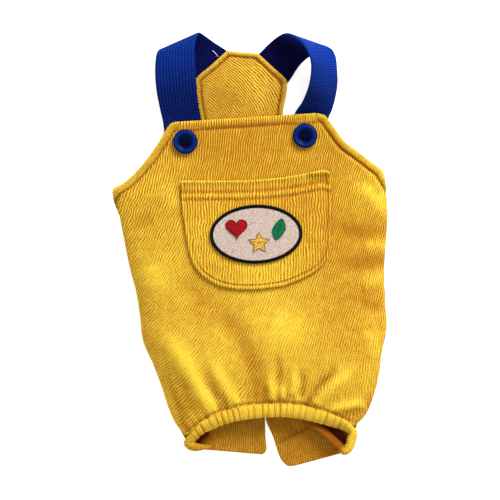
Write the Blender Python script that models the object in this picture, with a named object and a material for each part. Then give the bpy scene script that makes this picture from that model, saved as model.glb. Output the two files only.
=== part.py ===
"""Knitted dog suspender pants, laid flat with the bib and pocket facing up.

Units are metres and +Z is up. The bib points to +Y. Places on the garment are given as
shares: across counts from the middle in body widths, and down counts from the bib's top
edge towards the hem in body lengths.
"""

import math

import bmesh
import bpy
import numpy as np
from mathutils import Matrix, Vector

# Driving dimensions
BODY_WIDTH = 0.1684
BODY_LENGTH = 0.2013
BODY_PUFF = 0.0180          # height of the front panel's crown above the floor
CLOTH = 0.0020
POCKET_CLOTH = 0.0016
GAP = 0.0003
SEAT = 0.0004               # gap under a piece that lies on curved cloth
HEM_WIDTH = 0.0085
HEM_THICKNESS = 0.0048
HEM_RISE = 0.0120           # height of the casing's middle at the front
GATHER_PITCH = 0.0045
GATHER_WIDTH_DEPTH = 0.04   # how far a gather pinches the casing's width, as a share
GATHER_THICKNESS_DEPTH = 0.14
FOLD_RISE = 0.0020
WEBBING_WIDTH = 0.0250
WEBBING = 0.0015
BUTTON_DIAMETER = 0.0150
BUTTON_THICKNESS = 0.0030
BUTTON_DISH = 0.0080
BUTTON_WEB = 0.0018         # thickness left under the dish
BUTTON_HOLE = 0.0018
BUTTON_HOLE_SPACING = 0.0031
THREAD = 0.0010
BADGE_WIDTH = 0.0560
BADGE_HEIGHT = 0.0356
BADGE_FELT = 0.0010
BADGE_BORDER = 0.0018
MOTIF_RISE = 0.0006

# Heights that follow from the cloth and the webbing
BACK_TOP = CLOTH
SIDE_RISE = BACK_TOP + GAP + 0.65 * CLOTH
TAB_LIFT = WEBBING + 2 * GAP
BIB_UNDERSIDE = BACK_TOP + WEBBING + 3.5 * GAP
BIB_RISE = BIB_UNDERSIDE + CLOTH
STRAP_ROOT_LEVEL = WEBBING / 2
STRAP_END_LEVEL = BIB_UNDERSIDE - GAP - WEBBING / 2

# Front panel: left across, left down, right across, right down,
# edge lift (0 sewn to the back, 1 a free bib edge), arch (share of the hem's arch), crown
FRONT_ROWS = (
    (-0.250, 0.003, 0.239, -0.023, 1.0, 0.00, 0.37),
    (-0.290, 0.012, 0.275, -0.012, 1.0, 0.00, 0.38),
    (-0.326, 0.058, 0.308, 0.024, 1.0, 0.00, 0.39),
    (-0.362, 0.103, 0.344, 0.064, 1.0, 0.00, 0.41),
    (-0.406, 0.148, 0.391, 0.094, 0.9, 0.00, 0.44),
    (-0.453, 0.185, 0.438, 0.124, 0.6, 0.00, 0.48),
    (-0.500, 0.215, 0.486, 0.161, 0.3, 0.00, 0.53),
    (-0.480, 0.267, 0.496, 0.230, 0.1, 0.00, 0.61),
    (-0.460, 0.348, 0.498, 0.309, 0.0, 0.00, 0.70),
    (-0.438, 0.439, 0.491, 0.394, 0.0, 0.00, 0.78),
    (-0.413, 0.521, 0.487, 0.470, 0.0, 0.00, 0.85),
    (-0.399, 0.591, 0.491, 0.555, 0.0, 0.00, 0.92),
    (-0.388, 0.667, 0.495, 0.630, 0.0, 0.05, 0.98),
    (-0.351, 0.739, 0.478, 0.703, 0.0, 0.17, 1.00),
    (-0.322, 0.803, 0.466, 0.776, 0.0, 0.37, 0.97),
    (-0.297, 0.867, 0.446, 0.839, 0.0, 0.61, 0.90),
    (-0.268, 0.921, 0.420, 0.891, 0.0, 0.84, 0.80),
    (-0.236, 0.952, 0.384, 0.921, 0.0, 1.00, 0.72),
)
ARCH_RISE = 0.083           # share of the body's length
ARCH_LEFT_POWER = 3.0
ARCH_RIGHT_POWER = 2.0

# Folds: start across, start down, end across, end down, height (of FOLD_RISE), half width (of BODY_WIDTH)
FOLDS = (
    (-0.297, 0.661, -0.181, 0.836, 0.75, 0.040),
    (-0.156, 0.742, -0.112, 0.855, -0.90, 0.028),
    (-0.130, 0.697, -0.062, 0.842, 0.70, 0.030),
    (-0.029, 0.636, 0.018, 0.836, -0.75, 0.045),
    (0.087, 0.697, 0.098, 0.833, -0.35, 0.030),
    (0.181, 0.703, 0.167, 0.842, -0.40, 0.030),
    (0.203, 0.858, 0.279, 0.785, -0.55, 0.022),
    (0.370, 0.367, 0.493, 0.367, -0.70, 0.030),
    (0.344, 0.445, 0.478, 0.448, -0.85, 0.026),
    (0.391, 0.570, 0.449, 0.582, -0.45, 0.026),
    (-0.304, 0.806, -0.236, 0.903, -0.60, 0.026),
    (0.293, 0.882, 0.395, 0.855, 0.50, 0.024),
    (0.453, 0.612, 0.464, 0.697, 0.45, 0.024),
)

# Back panel with its tab: left across, left down, right across, right down, lift (of TAB_LIFT)
BACK_ROWS = (
    (-0.083, -0.212, 0.029, -0.203, 1.00),
    (-0.138, -0.170, 0.080, -0.164, 1.00),
    (-0.192, -0.130, 0.129, -0.126, 1.00),
    (-0.197, -0.097, 0.134, -0.100, 0.95),
    (-0.194, -0.061, 0.130, -0.070, 0.55),
    (-0.184, -0.012, 0.120, -0.024, 0.00),
    (-0.170, 0.045, 0.116, 0.036, 0.00),
    (-0.170, 0.097, 0.116, 0.091, 0.00),
    (-0.225, 0.136, 0.188, 0.121, 0.00),
    (-0.333, 0.179, 0.344, 0.145, 0.00),
    (-0.496, 0.217, 0.485, 0.171, 0.00),
    (-0.467, 0.321, 0.496, 0.279, 0.00),
    (-0.420, 0.503, 0.486, 0.500, 0.00),
    (-0.388, 0.661, 0.491, 0.667, 0.00),
    (-0.315, 0.821, 0.453, 0.818, 0.00),
    (-0.286, 0.888, 0.428, 0.873, 0.00),
    (-0.254, 0.936, 0.388, 0.918, 0.00),
    (-0.228, 0.973, 0.382, 0.964, 0.00),
    (-0.217, 0.984, 0.375, 0.983, 0.00),
    (-0.196, 0.995, 0.359, 1.002, 0.00),
)
# The slit between the back panel's flaps, one row for each of its last rows:
# left across, left down, right across, right down
SLIT_ROWS = (
    (0.053, 0.864, 0.053, 0.864),
    (0.054, 0.909, 0.058, 0.909),
    (0.056, 0.958, 0.083, 0.958),
    (0.060, 0.997, 0.109, 1.021),
    (0.045, 1.012, 0.136, 1.052),
)

# Pocket: left across, left down, right across, right down
POCKET_ROWS = (
    (-0.254, 0.182, 0.290, 0.147),
    (-0.250, 0.242, 0.295, 0.212),
    (-0.241, 0.309, 0.295, 0.282),
    (-0.228, 0.376, 0.295, 0.352),
    (-0.212, 0.424, 0.288, 0.403),
    (-0.185, 0.461, 0.264, 0.439),
    (-0.149, 0.486, 0.225, 0.465),
    (-0.105, 0.503, 0.181, 0.483),
    (-0.051, 0.512, 0.130, 0.500),
)

# Places of the buttons, the strap roots and the badge: across, down
BUTTON_PLACES = {"left": (-0.234, 0.065), "right": (0.199, 0.047)}
ROOT_PLACES = {"left": (-0.140, -0.170), "right": (0.090, -0.163)}
BADGE_PLACE = (0.022, 0.345)
BADGE_TILT = math.radians(2)

# Straps, root to button: share of the way, then inner edge and outer edge as
# across, along, up in webbing widths from the point that far along the way
STRAP_ROWS = {
    "left": (
        (0.00, 0.55, 0.16, 0.00, -0.15, -0.54, 0.00),
        (0.00, 0.36, 0.34, 0.00, -0.36, -0.34, 0.00),
        (0.10, 0.13, 0.72, 0.04, -0.70, 0.18, 0.03),
        (0.15, -0.03, 0.95, 0.14, -0.99, 0.52, 0.12),
        (0.20, -0.16, 1.13, 0.32, -1.10, 0.71, 0.28),
        (0.25, -0.20, 1.10, 0.48, -1.17, 0.72, 0.44),
        (0.30, -0.21, 0.95, 0.52, -1.17, 0.61, 0.42),
        (0.45, -0.10, 0.82, 0.48, -1.08, 0.55, 0.34),
        (0.60, 0.02, 0.62, 0.38, -0.95, 0.45, 0.24),
        (0.75, 0.16, 0.46, 0.20, -0.78, 0.34, 0.10),
        (0.90, 0.32, 0.38, 0.02, -0.61, 0.29, 0.00),
        (1.00, 0.43, 0.16, 0.00, -0.50, 0.09, 0.00),
        (1.00, 0.45, -0.26, 0.00, -0.45, -0.30, 0.00),
    ),
    "right": (
        (0.00, -0.53, 0.23, 0.00, 0.13, -0.53, 0.00),
        (0.00, -0.35, 0.35, 0.00, 0.35, -0.35, 0.00),
        (0.05, -0.18, 0.64, 0.06, 0.55, 0.09, 0.05),
        (0.10, -0.02, 0.88, 0.24, 0.79, 0.42, 0.16),
        (0.15, 0.14, 1.04, 0.48, 1.04, 0.65, 0.32),
        (0.20, 0.32, 1.05, 0.76, 1.21, 0.76, 0.36),
        (0.25, 0.50, 0.95, 0.96, 1.29, 0.65, 0.32),
        (0.35, 0.58, 0.82, 1.04, 1.25, 0.50, 0.32),
        (0.45, 0.55, 0.67, 0.96, 1.19, 0.35, 0.26),
        (0.60, 0.38, 0.53, 0.80, 1.03, 0.26, 0.18),
        (0.75, 0.11, 0.39, 0.32, 0.84, 0.20, 0.05),
        (0.88, -0.15, 0.37, 0.00, 0.67, 0.25, 0.00),
        (1.00, -0.41, 0.13, 0.00, 0.49, 0.04, 0.00),
        (1.00, -0.48, -0.30, 0.00, 0.46, -0.35, 0.00),
    ),
}

# The casing past the front panel's corners, in hem widths from each corner:
# across, along, upright (0 lies flat, 1 stands on edge)
HEM_LEFT_TURN = (
    (1.30, -0.95, 0.75),
    (0.82, -1.02, 0.90),
    (0.42, -0.92, 1.00),
    (0.22, -0.58, 1.00),
)
HEM_RIGHT_TURN = (
    (-0.27, -0.62, 1.00),
    (-0.22, -1.15, 1.00),
    (-0.36, -1.62, 1.00),
    (-0.84, -1.86, 0.90),
    (-1.38, -1.38, 0.75),
    (-1.90, -0.88, 0.70),
    (-2.45, -0.38, 0.65),
    (-2.95, 0.00, 0.60),
)
HEM_FRONT = (0.07, 0.12, 0.20, 0.30, 0.40, 0.50, 0.60, 0.70, 0.80, 0.88, 0.94)

# Motifs on the badge: across and down as shares of its half axes, size as a share of its height
MOTIFS = {
    "heart": (-0.42, -0.18, 0.34),
    "star": (0.06, 0.30, 0.38),
    "leaf": (0.50, -0.14, 0.36),
}

COLOURS = {
    "knit_yellow": ((0.64, 0.34, 0.055), 0.95),
    "knit_yellow_back": ((0.56, 0.28, 0.04), 0.95),
    "webbing_blue": ((0.010, 0.035, 0.20), 0.80),
    "button_blue": ((0.010, 0.050, 0.30), 0.25),
    "thread_blue": ((0.015, 0.050, 0.22), 0.70),
    "badge_ground": ((0.72, 0.52, 0.47), 0.90),
    "badge_border": ((0.010, 0.010, 0.012), 0.75),
    "thread_red": ((0.45, 0.010, 0.015), 0.60),
    "thread_yellow": ((0.85, 0.50, 0.06), 0.60),
    "thread_green": ((0.012, 0.16, 0.065), 0.60),
}


def clear_scene():
    for item in list(bpy.data.objects):
        bpy.data.objects.remove(item, do_unlink=True)


def material(slot):
    colour, roughness = COLOURS[slot]
    found = bpy.data.materials.get(slot)
    if found:
        return found
    made = bpy.data.materials.new(slot)
    made.use_nodes = True
    shader = made.node_tree.nodes["Principled BSDF"]
    shader.inputs["Base Color"].default_value = (*colour, 1)
    shader.inputs["Roughness"].default_value = roughness
    shader.inputs["Metallic"].default_value = 0
    return made


def add_object(name, mesh, slot, parent):
    """Makes a smooth-shaded object from a bmesh."""
    data = bpy.data.meshes.new(name)
    mesh.to_mesh(data)
    mesh.free()
    data.shade_smooth()
    data.set_sharp_from_angle(angle=math.radians(40))
    data.materials.append(material(slot))
    made = bpy.data.objects.new(name, data)
    made.parent = parent
    bpy.context.collection.objects.link(made)
    return made


def thicken(piece, thickness, offset):
    """Gives an open sheet its thickness: offset -1 goes below its face, 0 both ways, 1 above."""
    solidify = piece.modifiers.new("thickness", "SOLIDIFY")
    solidify.thickness = thickness
    solidify.offset = offset
    solidify.use_even_offset = False
    return solidify


def blend(low, high, share):
    return low + (high - low) * share


def smooth_row(rows, position):
    """The table's row at a fractional position, on a smooth curve through all its rows."""
    last = len(rows) - 1
    index = min(int(position), last - 1)
    t = position - index
    before = rows[max(index - 1, 0)]
    after = rows[min(index + 2, last)]
    weights = (
        (-t + 2 * t**2 - t**3) / 2,
        (2 - 5 * t**2 + 3 * t**3) / 2,
        (t + 4 * t**2 - 3 * t**3) / 2,
        (-t**2 + t**3) / 2,
    )
    group = (before, rows[index], rows[index + 1], after)
    return [sum(w * row[k] for w, row in zip(weights, group)) for k in range(len(rows[0]))]


def soft_step(value, low, high):
    share = min(max((value - low) / (high - low), 0), 1)
    return share * share * (3 - 2 * share)


def plan(across, down):
    return Vector((across * BODY_WIDTH, -down * BODY_LENGTH, 0))


def shares(x, y):
    return x / BODY_WIDTH, -y / BODY_LENGTH


def arch(s):
    """The hem's arch along the front, 0 at both corners and 1 at its top."""
    power = ARCH_LEFT_POWER if s < 0.5 else ARCH_RIGHT_POWER
    return 1 - abs(2 * s - 1) ** power


def crown_profile(s):
    """Height across the garment, 0 at both side edges and 1 over the middle."""
    return math.sqrt(max(1 - abs(2 * s - 1) ** 4, 0))


def side_tables():
    """Samples of both side edges down the front, as down, across, lift, and of the crown."""
    steps = 4 * (len(FRONT_ROWS) - 1)
    samples = [smooth_row(FRONT_ROWS, i / 4) for i in range(steps + 1)]
    left = np.array([(row[1], row[0], row[4]) for row in samples])
    right = np.array([(row[3], row[2], row[4]) for row in samples])
    middle = np.array([((row[1] + row[3]) / 2, row[6]) for row in samples])
    return left, right, middle


LEFT_SIDE, RIGHT_SIDE, MIDDLE = side_tables()
ARCH_START = FRONT_ROWS[11][1]
ARCH_FULL = FRONT_ROWS[16][3]


def side_at(side, down):
    return float(np.interp(down, side[:, 0], side[:, 1])), float(np.interp(down, side[:, 0], side[:, 2]))


def fold_height(across, down):
    """Sum of the folds at a place, each a ridge or valley that fades past its ends."""
    total = 0.0
    here = plan(across, down)
    for x0, d0, x1, d1, height, half_width in FOLDS:
        start = plan(x0, d0)
        line = plan(x1, d1) - start
        along = (here - start).dot(line) / line.length_squared
        nearest = start + line * min(max(along, 0), 1)
        distance = (here - nearest).length / (half_width * BODY_WIDTH)
        total += height * FOLD_RISE * math.exp(-distance**2)
    return total


def open_height(x, y):
    """Height of the front panel's outer face, before the buttons press it flat."""
    across, down = shares(x, y)
    left, left_lift = side_at(LEFT_SIDE, down)
    right, right_lift = side_at(RIGHT_SIDE, down)
    s = min(max((across - left) / (right - left), 0), 1)
    arched = down + ARCH_RISE * soft_step(down, ARCH_START, ARCH_FULL) * arch(s)
    crown = float(np.interp(arched, MIDDLE[:, 0], MIDDLE[:, 1])) * BODY_PUFF
    edge = blend(SIDE_RISE, BIB_RISE, blend(left_lift, right_lift, s))
    profile = crown_profile(s)
    return blend(edge, max(crown, edge), profile) + fold_height(across, down) * profile


BUTTON_CENTRES = {side: plan(*place) for side, place in BUTTON_PLACES.items()}


def front_height(x, y):
    """Height of the front panel's outer face, level under each button."""
    height = open_height(x, y)
    for centre in BUTTON_CENTRES.values():
        distance = math.hypot(x - centre.x, y - centre.y) / BUTTON_DIAMETER
        level = 1 - soft_step(distance, 0.7, 1.2)
        height = blend(height, open_height(centre.x, centre.y), level)
    return height


def pocket_face(x, y):
    return front_height(x, y) + SEAT + POCKET_CLOTH


def badge_face(x, y):
    return pocket_face(x, y) + SEAT + BADGE_FELT


def crowd_sides(u):
    """Column position across a panel, with the columns closer together near both sides."""
    return 0.45 * u + 0.55 * (1 - math.cos(math.pi * u)) / 2


def grid_mesh(columns, rows, place):
    """A grid of quads facing up, where place(u, v) gives each corner."""
    mesh = bmesh.new()
    bmesh.ops.create_grid(mesh, x_segments=columns, y_segments=rows, size=0.5)
    for vert in mesh.verts:
        vert.co = place(vert.co.x + 0.5, 0.5 - vert.co.y)
    return mesh


def front_point(u, v):
    left_x, left_d, right_x, right_d, _, arched, _ = smooth_row(FRONT_ROWS, v * (len(FRONT_ROWS) - 1))
    s = crowd_sides(u)
    down = blend(left_d, right_d, s) - ARCH_RISE * arched * arch(s)
    place = plan(blend(left_x, right_x, s), down)
    return Vector((place.x, place.y, front_height(place.x, place.y)))


def make_front_panel(parent):
    mesh = grid_mesh(26, 2 * (len(FRONT_ROWS) - 1), front_point)
    piece = add_object("front_panel", mesh, "knit_yellow", parent)
    thicken(piece, CLOTH, -1)


def back_row(position):
    """One row of the back panel: both sides, both sides of the slit, and the height."""
    left_x, left_d, right_x, right_d, lift = smooth_row(BACK_ROWS, position)
    slit_start = len(BACK_ROWS) - len(SLIT_ROWS)
    if position <= slit_start:
        near_slit = soft_step(position, 0, slit_start)
        middle = blend((left_x + right_x) / 2, SLIT_ROWS[0][0], near_slit)
        slit = [middle, (left_d + right_d) / 2] * 2
    else:
        slit = smooth_row(SLIT_ROWS, position - slit_start)
    return plan(left_x, left_d), plan(slit[0], slit[1]), plan(slit[2], slit[3]), plan(right_x, right_d), lift


def make_back_panel(parent):
    """A flat sheet whose last rows part at the slit into two flaps."""
    mesh = bmesh.new()
    columns = 3
    rows = 2 * (len(BACK_ROWS) - 1)
    slit_start = rows - 2 * (len(SLIT_ROWS) - 1)
    grid = []
    for i in range(rows + 1):
        left, slit_left, slit_right, right, lift = back_row(i / 2)
        up = Vector((0, 0, BACK_TOP + max(lift, 0) * TAB_LIFT))
        first = [mesh.verts.new(left.lerp(slit_left, j / columns) + up) for j in range(columns + 1)]
        second = [mesh.verts.new(slit_right.lerp(right, j / columns) + up) for j in range(1, columns + 1)]
        corner = first[-1] if i <= slit_start else mesh.verts.new(slit_right + up)
        grid.append((first, [corner] + second))
    for upper, lower in zip(grid, grid[1:]):
        for half in (0, 1):
            for j in range(columns):
                corners = (upper[half][j], lower[half][j], lower[half][j + 1], upper[half][j + 1])
                mesh.faces.new(corners)
    piece = add_object("back_panel", mesh, "knit_yellow_back", parent)
    thicken(piece, CLOTH, -1)


def panel_hem(s):
    """A point on the front panel's lower edge and the direction that leads away from the panel."""
    left_x, left_d, right_x, right_d, *_ = FRONT_ROWS[-1]

    def edge(share):
        return plan(blend(left_x, right_x, share), blend(left_d, right_d, share) - ARCH_RISE * arch(share))

    tangent = (edge(min(s + 0.01, 1)) - edge(max(s - 0.01, 0))).normalized()
    return edge(s), Vector((tangent.y, -tangent.x, 0))


def half_extents(upright):
    """Half of the casing's width in plan and half of its height, when it is tilted on edge."""
    angle = upright * math.pi / 2
    a = HEM_WIDTH / 2
    b = HEM_THICKNESS / 2
    flat = math.hypot(a * math.cos(angle), b * math.sin(angle))
    tall = math.hypot(a * math.sin(angle), b * math.cos(angle))
    return flat, tall


def hem_stations():
    """Rows of the casing's path: x, y, z, upright, from the left end to the end inside the right side."""
    left_x, left_d, right_x, right_d, *_ = FRONT_ROWS[-1]
    stations = []
    for across, along, upright in HEM_LEFT_TURN:
        place = plan(left_x, left_d) + Vector((across, along, 0)) * HEM_WIDTH
        stations.append((place.x, place.y, BACK_TOP + GAP + half_extents(upright)[1], upright))
    for s in HEM_FRONT:
        edge, away = panel_hem(s)
        upright = 0.85 * abs(2 * s - 1) ** 3
        flat, tall = half_extents(upright)
        place = edge + away * (flat + 2 * GAP)
        low = BACK_TOP + GAP + tall
        stations.append((place.x, place.y, blend(low, HEM_RISE, crown_profile(s)), upright))
    for across, along, upright in HEM_RIGHT_TURN:
        place = plan(right_x, right_d) + Vector((across, along, 0)) * HEM_WIDTH
        stations.append((place.x, place.y, BACK_TOP + GAP + half_extents(upright)[1], upright))
    return stations


def sample_path(rows, spacing):
    """Rows at an even spacing along a smooth path whose first three columns are x, y, z."""
    fine = [smooth_row(rows, i / 12) for i in range(12 * (len(rows) - 1) + 1)]
    lengths = [0.0]
    for a, b in zip(fine, fine[1:]):
        lengths.append(lengths[-1] + math.dist(a[:3], b[:3]))
    count = max(round(lengths[-1] / spacing), 2)
    even = np.linspace(0, lengths[-1], count + 1)
    table = np.array(fine)
    columns = [np.interp(even, lengths, table[:, k]) for k in range(table.shape[1])]
    return list(zip(*columns)), even


def make_elastic_hem(parent):
    """The gathered casing: an oval swept along the hem, pinched once in each gather."""
    sides = 8
    rows, distances = sample_path(hem_stations(), GATHER_PITCH / 4)
    mesh = bmesh.new()
    rings = []
    for i, (row, distance) in enumerate(zip(rows, distances)):
        centre = Vector(row[:3])
        ahead = Vector(rows[min(i + 1, len(rows) - 1)][:3])
        behind = Vector(rows[max(i - 1, 0)][:3])
        tangent = (ahead - behind).normalized()
        level = Vector((tangent.y, -tangent.x, 0)).normalized()
        angle = row[3] * math.pi / 2
        wide = level * math.cos(angle) - Vector((0, 0, 1)) * math.sin(angle)
        thin = wide.cross(tangent).normalized()
        gather = math.sin(2 * math.pi * distance / GATHER_PITCH)
        a = HEM_WIDTH / 2 * (1 - GATHER_WIDTH_DEPTH * (1 - gather))
        b = HEM_THICKNESS / 2 * (1 - GATHER_THICKNESS_DEPTH * (1 - gather))
        ring = []
        for k in range(sides):
            turn = 2 * math.pi * k / sides
            ring.append(mesh.verts.new(centre + wide * a * math.cos(turn) + thin * b * math.sin(turn)))
        rings.append(ring)
    for near, far in zip(rings, rings[1:]):
        for k in range(sides):
            mesh.faces.new((near[k], near[(k + 1) % sides], far[(k + 1) % sides], far[k]))
    mesh.faces.new(list(reversed(rings[0])))
    mesh.faces.new(rings[-1])
    bmesh.ops.recalc_face_normals(mesh, faces=mesh.faces)
    add_object("elastic_hem", mesh, "knit_yellow", parent)


def pocket_point(u, v):
    left_x, left_d, right_x, right_d = smooth_row(POCKET_ROWS, v * (len(POCKET_ROWS) - 1))
    place = plan(blend(left_x, right_x, u), blend(left_d, right_d, u))
    return Vector((place.x, place.y, front_height(place.x, place.y) + SEAT))


def make_pocket(parent):
    mesh = grid_mesh(12, 2 * (len(POCKET_ROWS) - 1), pocket_point)
    piece = add_object("pocket", mesh, "knit_yellow", parent)
    thicken(piece, POCKET_CLOTH, 1)


def strap_point(side, u, v):
    """A point of a strap's middle surface, u from its outer to its inner edge and v from its root."""
    rows = STRAP_ROWS[side]
    way, in_x, in_y, in_z, out_x, out_y, out_z = smooth_row(rows, v * (len(rows) - 1))
    base = plan(*ROOT_PLACES[side]).lerp(BUTTON_CENTRES[side], min(max(way, 0), 1))
    level = blend(STRAP_ROOT_LEVEL, STRAP_END_LEVEL, min(max(way, 0), 1))
    inner = Vector((in_x, in_y, max(in_z, 0))) * WEBBING_WIDTH
    outer = Vector((out_x, out_y, max(out_z, 0))) * WEBBING_WIDTH
    return base + Vector((0, 0, level)) + outer.lerp(inner, u)


def make_strap(side, parent):
    steps = 3 * (len(STRAP_ROWS[side]) - 1)
    mesh = grid_mesh(3, steps, lambda u, v: strap_point(side, u, v))
    piece = add_object("strap_" + side, mesh, "webbing_blue", parent)
    thicken(piece, WEBBING, 0)


def turned_mesh(profile, segments):
    """A solid turned about Z from (radius, height) pairs that start and end on the axis."""
    mesh = bmesh.new()
    first = mesh.verts.new((0, 0, profile[0][1]))
    last = mesh.verts.new((0, 0, profile[-1][1]))
    rings = []
    for radius, height in profile[1:-1]:
        ring = []
        for k in range(segments):
            turn = 2 * math.pi * k / segments
            ring.append(mesh.verts.new((radius * math.cos(turn), radius * math.sin(turn), height)))
        rings.append(ring)
    for k in range(segments):
        after = (k + 1) % segments
        mesh.faces.new((first, rings[0][after], rings[0][k]))
        mesh.faces.new((last, rings[-1][k], rings[-1][after]))
        for lower, upper in zip(rings, rings[1:]):
            mesh.faces.new((lower[k], lower[after], upper[after], upper[k]))
    return mesh


def button_seat(side):
    centre = BUTTON_CENTRES[side]
    return Vector((centre.x, centre.y, front_height(centre.x, centre.y) + GAP))


def hole_offsets():
    half = BUTTON_HOLE_SPACING / 2
    return [Vector((x, y, 0)) for x in (-half, half) for y in (-half, half)]


def make_button(side, parent):
    """A four-hole button with a rounded rim and a dished face."""
    r = BUTTON_DIAMETER / 2
    t = BUTTON_THICKNESS
    dish = BUTTON_DISH / 2
    profile = (
        (0, 0), (0.80 * r, 0), (0.96 * r, 0.22 * t), (r, 0.50 * t), (0.96 * r, 0.80 * t),
        (0.86 * r, t), ((r + dish) / 2, 0.97 * t), (dish, blend(BUTTON_WEB, t, 0.3)), (0.8 * dish, BUTTON_WEB),
        (0, BUTTON_WEB),
    )
    piece = add_object("button_" + side, turned_mesh(profile, 24), "button_blue", parent)
    piece.location = button_seat(side)
    for i, offset in enumerate(hole_offsets()):
        mesh = bmesh.new()
        bmesh.ops.create_cone(
            mesh, cap_ends=True, segments=10, radius1=BUTTON_HOLE / 2, radius2=BUTTON_HOLE / 2, depth=4 * t,
        )
        cutter = add_object("hole_cutter_%s_%d" % (side, i), mesh, "button_blue", parent)
        cutter.location = piece.location + offset
        cutter.hide_render = True
        cutter.display_type = "WIRE"
        cut = piece.modifiers.new("hole", "BOOLEAN")
        cut.operation = "DIFFERENCE"
        cut.solver = "EXACT"
        cut.object = cutter


def make_button_thread(side, parent):
    """Crossed stitches in the dish, with a leg down each hole to the cloth."""
    floor = BUTTON_WEB + GAP
    reach = BUTTON_HOLE_SPACING / 2 * math.sqrt(2)
    half = THREAD / 2
    lines = (-reach - half, -reach + half, -half, half, reach - half, reach + half)
    mesh = bmesh.new()
    corners = {}

    def corner(i, j):
        if (i, j) not in corners:
            corners[i, j] = mesh.verts.new((lines[i], lines[j], floor))
        return corners[i, j]

    cells = [(i, 2) for i in range(5)] + [(2, j) for j in range(5) if j != 2]
    faces = {}
    for i, j in cells:
        faces[i, j] = mesh.faces.new((corner(i, j), corner(i, j + 1), corner(i + 1, j + 1), corner(i + 1, j)))
    legs = [faces[cell] for cell in ((0, 2), (4, 2), (2, 0), (2, 4))]
    top = bmesh.ops.extrude_face_region(mesh, geom=list(faces.values()), use_keep_orig=True)
    for item in top["geom"]:
        if isinstance(item, bmesh.types.BMVert):
            item.co.z += THREAD
    for leg in legs:
        down = bmesh.ops.extrude_discrete_faces(mesh, faces=[leg])
        for vert in down["faces"][0].verts:
            vert.co.z = 0
    bmesh.ops.recalc_face_normals(mesh, faces=mesh.faces)
    piece = add_object("button_thread_" + side, mesh, "thread_blue", parent)
    piece.location = button_seat(side)
    piece.rotation_euler.z = math.radians(45)


def plate_mesh(outline, centre, rings, face, thickness):
    """A thin plate inside an outline, whose underside lies SEAT above the face it is sewn to."""
    mesh = bmesh.new()

    def corner(x, y, rise):
        return mesh.verts.new((x, y, face(x, y) + SEAT + rise))

    layers = []
    for rise in (0, thickness):
        middle = corner(centre.x, centre.y, rise)
        loops = []
        for k in range(1, rings + 1):
            share = k / rings
            loops.append([corner(*(centre.xy.lerp(point, share)), rise) for point in outline])
        layers.append((middle, loops))
    count = len(outline)
    for k in range(count):
        after = (k + 1) % count
        for (middle, loops), up in zip(layers, (False, True)):
            wedge = (middle, loops[0][k], loops[0][after])
            mesh.faces.new(wedge if up else wedge[::-1])
            for near, far in zip(loops, loops[1:]):
                strip = (near[k], far[k], far[after], near[after])
                mesh.faces.new(strip if up else strip[::-1])
        low = layers[0][1][-1]
        high = layers[1][1][-1]
        mesh.faces.new((low[k], low[after], high[after], high[k]))
    return mesh


def badge_point(turn, half_width, half_height):
    """A point of an oval about the badge's centre, turned with the badge."""
    centre = plan(*BADGE_PLACE).xy
    spin = Matrix.Rotation(BADGE_TILT, 2)
    return centre + spin @ Vector((half_width * math.cos(turn), half_height * math.sin(turn)))


def make_badge(parent):
    inset = BADGE_BORDER + GAP
    outline = []
    for k in range(28):
        turn = 2 * math.pi * k / 28
        outline.append(badge_point(turn, BADGE_WIDTH / 2 - inset, BADGE_HEIGHT / 2 - inset))
    mesh = plate_mesh(outline, plan(*BADGE_PLACE), 3, pocket_face, BADGE_FELT)
    add_object("badge", mesh, "badge_ground", parent)


def make_badge_border(parent):
    """The overcast rim round the badge, a rounded ring that follows the pocket's face."""
    segments = 40
    # Inward and up, as shares of the border's width
    section = ((0, 0), (0, 0.65), (0.25, 0.9), (0.75, 0.9), (1, 0.65), (1, 0))
    mesh = bmesh.new()
    rings = []
    for k in range(segments):
        turn = 2 * math.pi * k / segments
        ring = []
        for inward, up in section:
            inset = inward * BADGE_BORDER
            place = badge_point(turn, BADGE_WIDTH / 2 - inset, BADGE_HEIGHT / 2 - inset)
            height = pocket_face(place.x, place.y) + SEAT + up * BADGE_BORDER
            ring.append(mesh.verts.new((place.x, place.y, height)))
        rings.append(ring)
    for k in range(segments):
        near = rings[k]
        far = rings[(k + 1) % segments]
        for i in range(len(section)):
            after = (i + 1) % len(section)
            mesh.faces.new((near[i], near[after], far[after], far[i]))
    bmesh.ops.recalc_face_normals(mesh, faces=mesh.faces)
    add_object("badge_border", mesh, "badge_border", parent)


def heart_outline():
    """A heart about one unit high, round its middle."""
    points = []
    for k in range(24):
        turn = -2 * math.pi * k / 24
        x = 16 * math.sin(turn) ** 3
        y = 13 * math.cos(turn) - 5 * math.cos(2 * turn) - 2 * math.cos(3 * turn) - math.cos(4 * turn)
        points.append(Vector((x, y + 2.5)) / 29)
    return points


def star_outline():
    """A five-pointed star in a circle one unit across."""
    points = []
    for k in range(10):
        turn = math.pi / 2 + math.pi * k / 5
        radius = 0.5 if k % 2 == 0 else 0.23
        points.append(Vector((radius * math.cos(turn), radius * math.sin(turn))))
    return points


def leaf_outline():
    """A pointed leaf one unit high that leans to the right."""
    half_width = 0.32
    taper = 0.35
    lean = 0.14
    points = []
    for k in range(20):
        turn = 2 * math.pi * k / 20
        height = math.sin(turn)
        across = half_width * math.cos(turn) * (1 - taper * abs(height)) + lean * height
        points.append(Vector((across, 0.5 * height)))
    return points


def make_motif(name, outline, slot, parent):
    """One raised motif on the badge, turned with it."""
    across, down, size = MOTIFS[name]
    spin = Matrix.Rotation(BADGE_TILT, 2)
    middle = Vector((across * BADGE_WIDTH / 2, -down * BADGE_HEIGHT / 2))
    centre = plan(*BADGE_PLACE).xy + spin @ middle
    points = [centre + spin @ point * size * BADGE_HEIGHT for point in outline]
    mesh = plate_mesh(points, Vector((centre.x, centre.y, 0)), 1, badge_face, MOTIF_RISE)
    add_object("badge_" + name, mesh, slot, parent)


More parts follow.
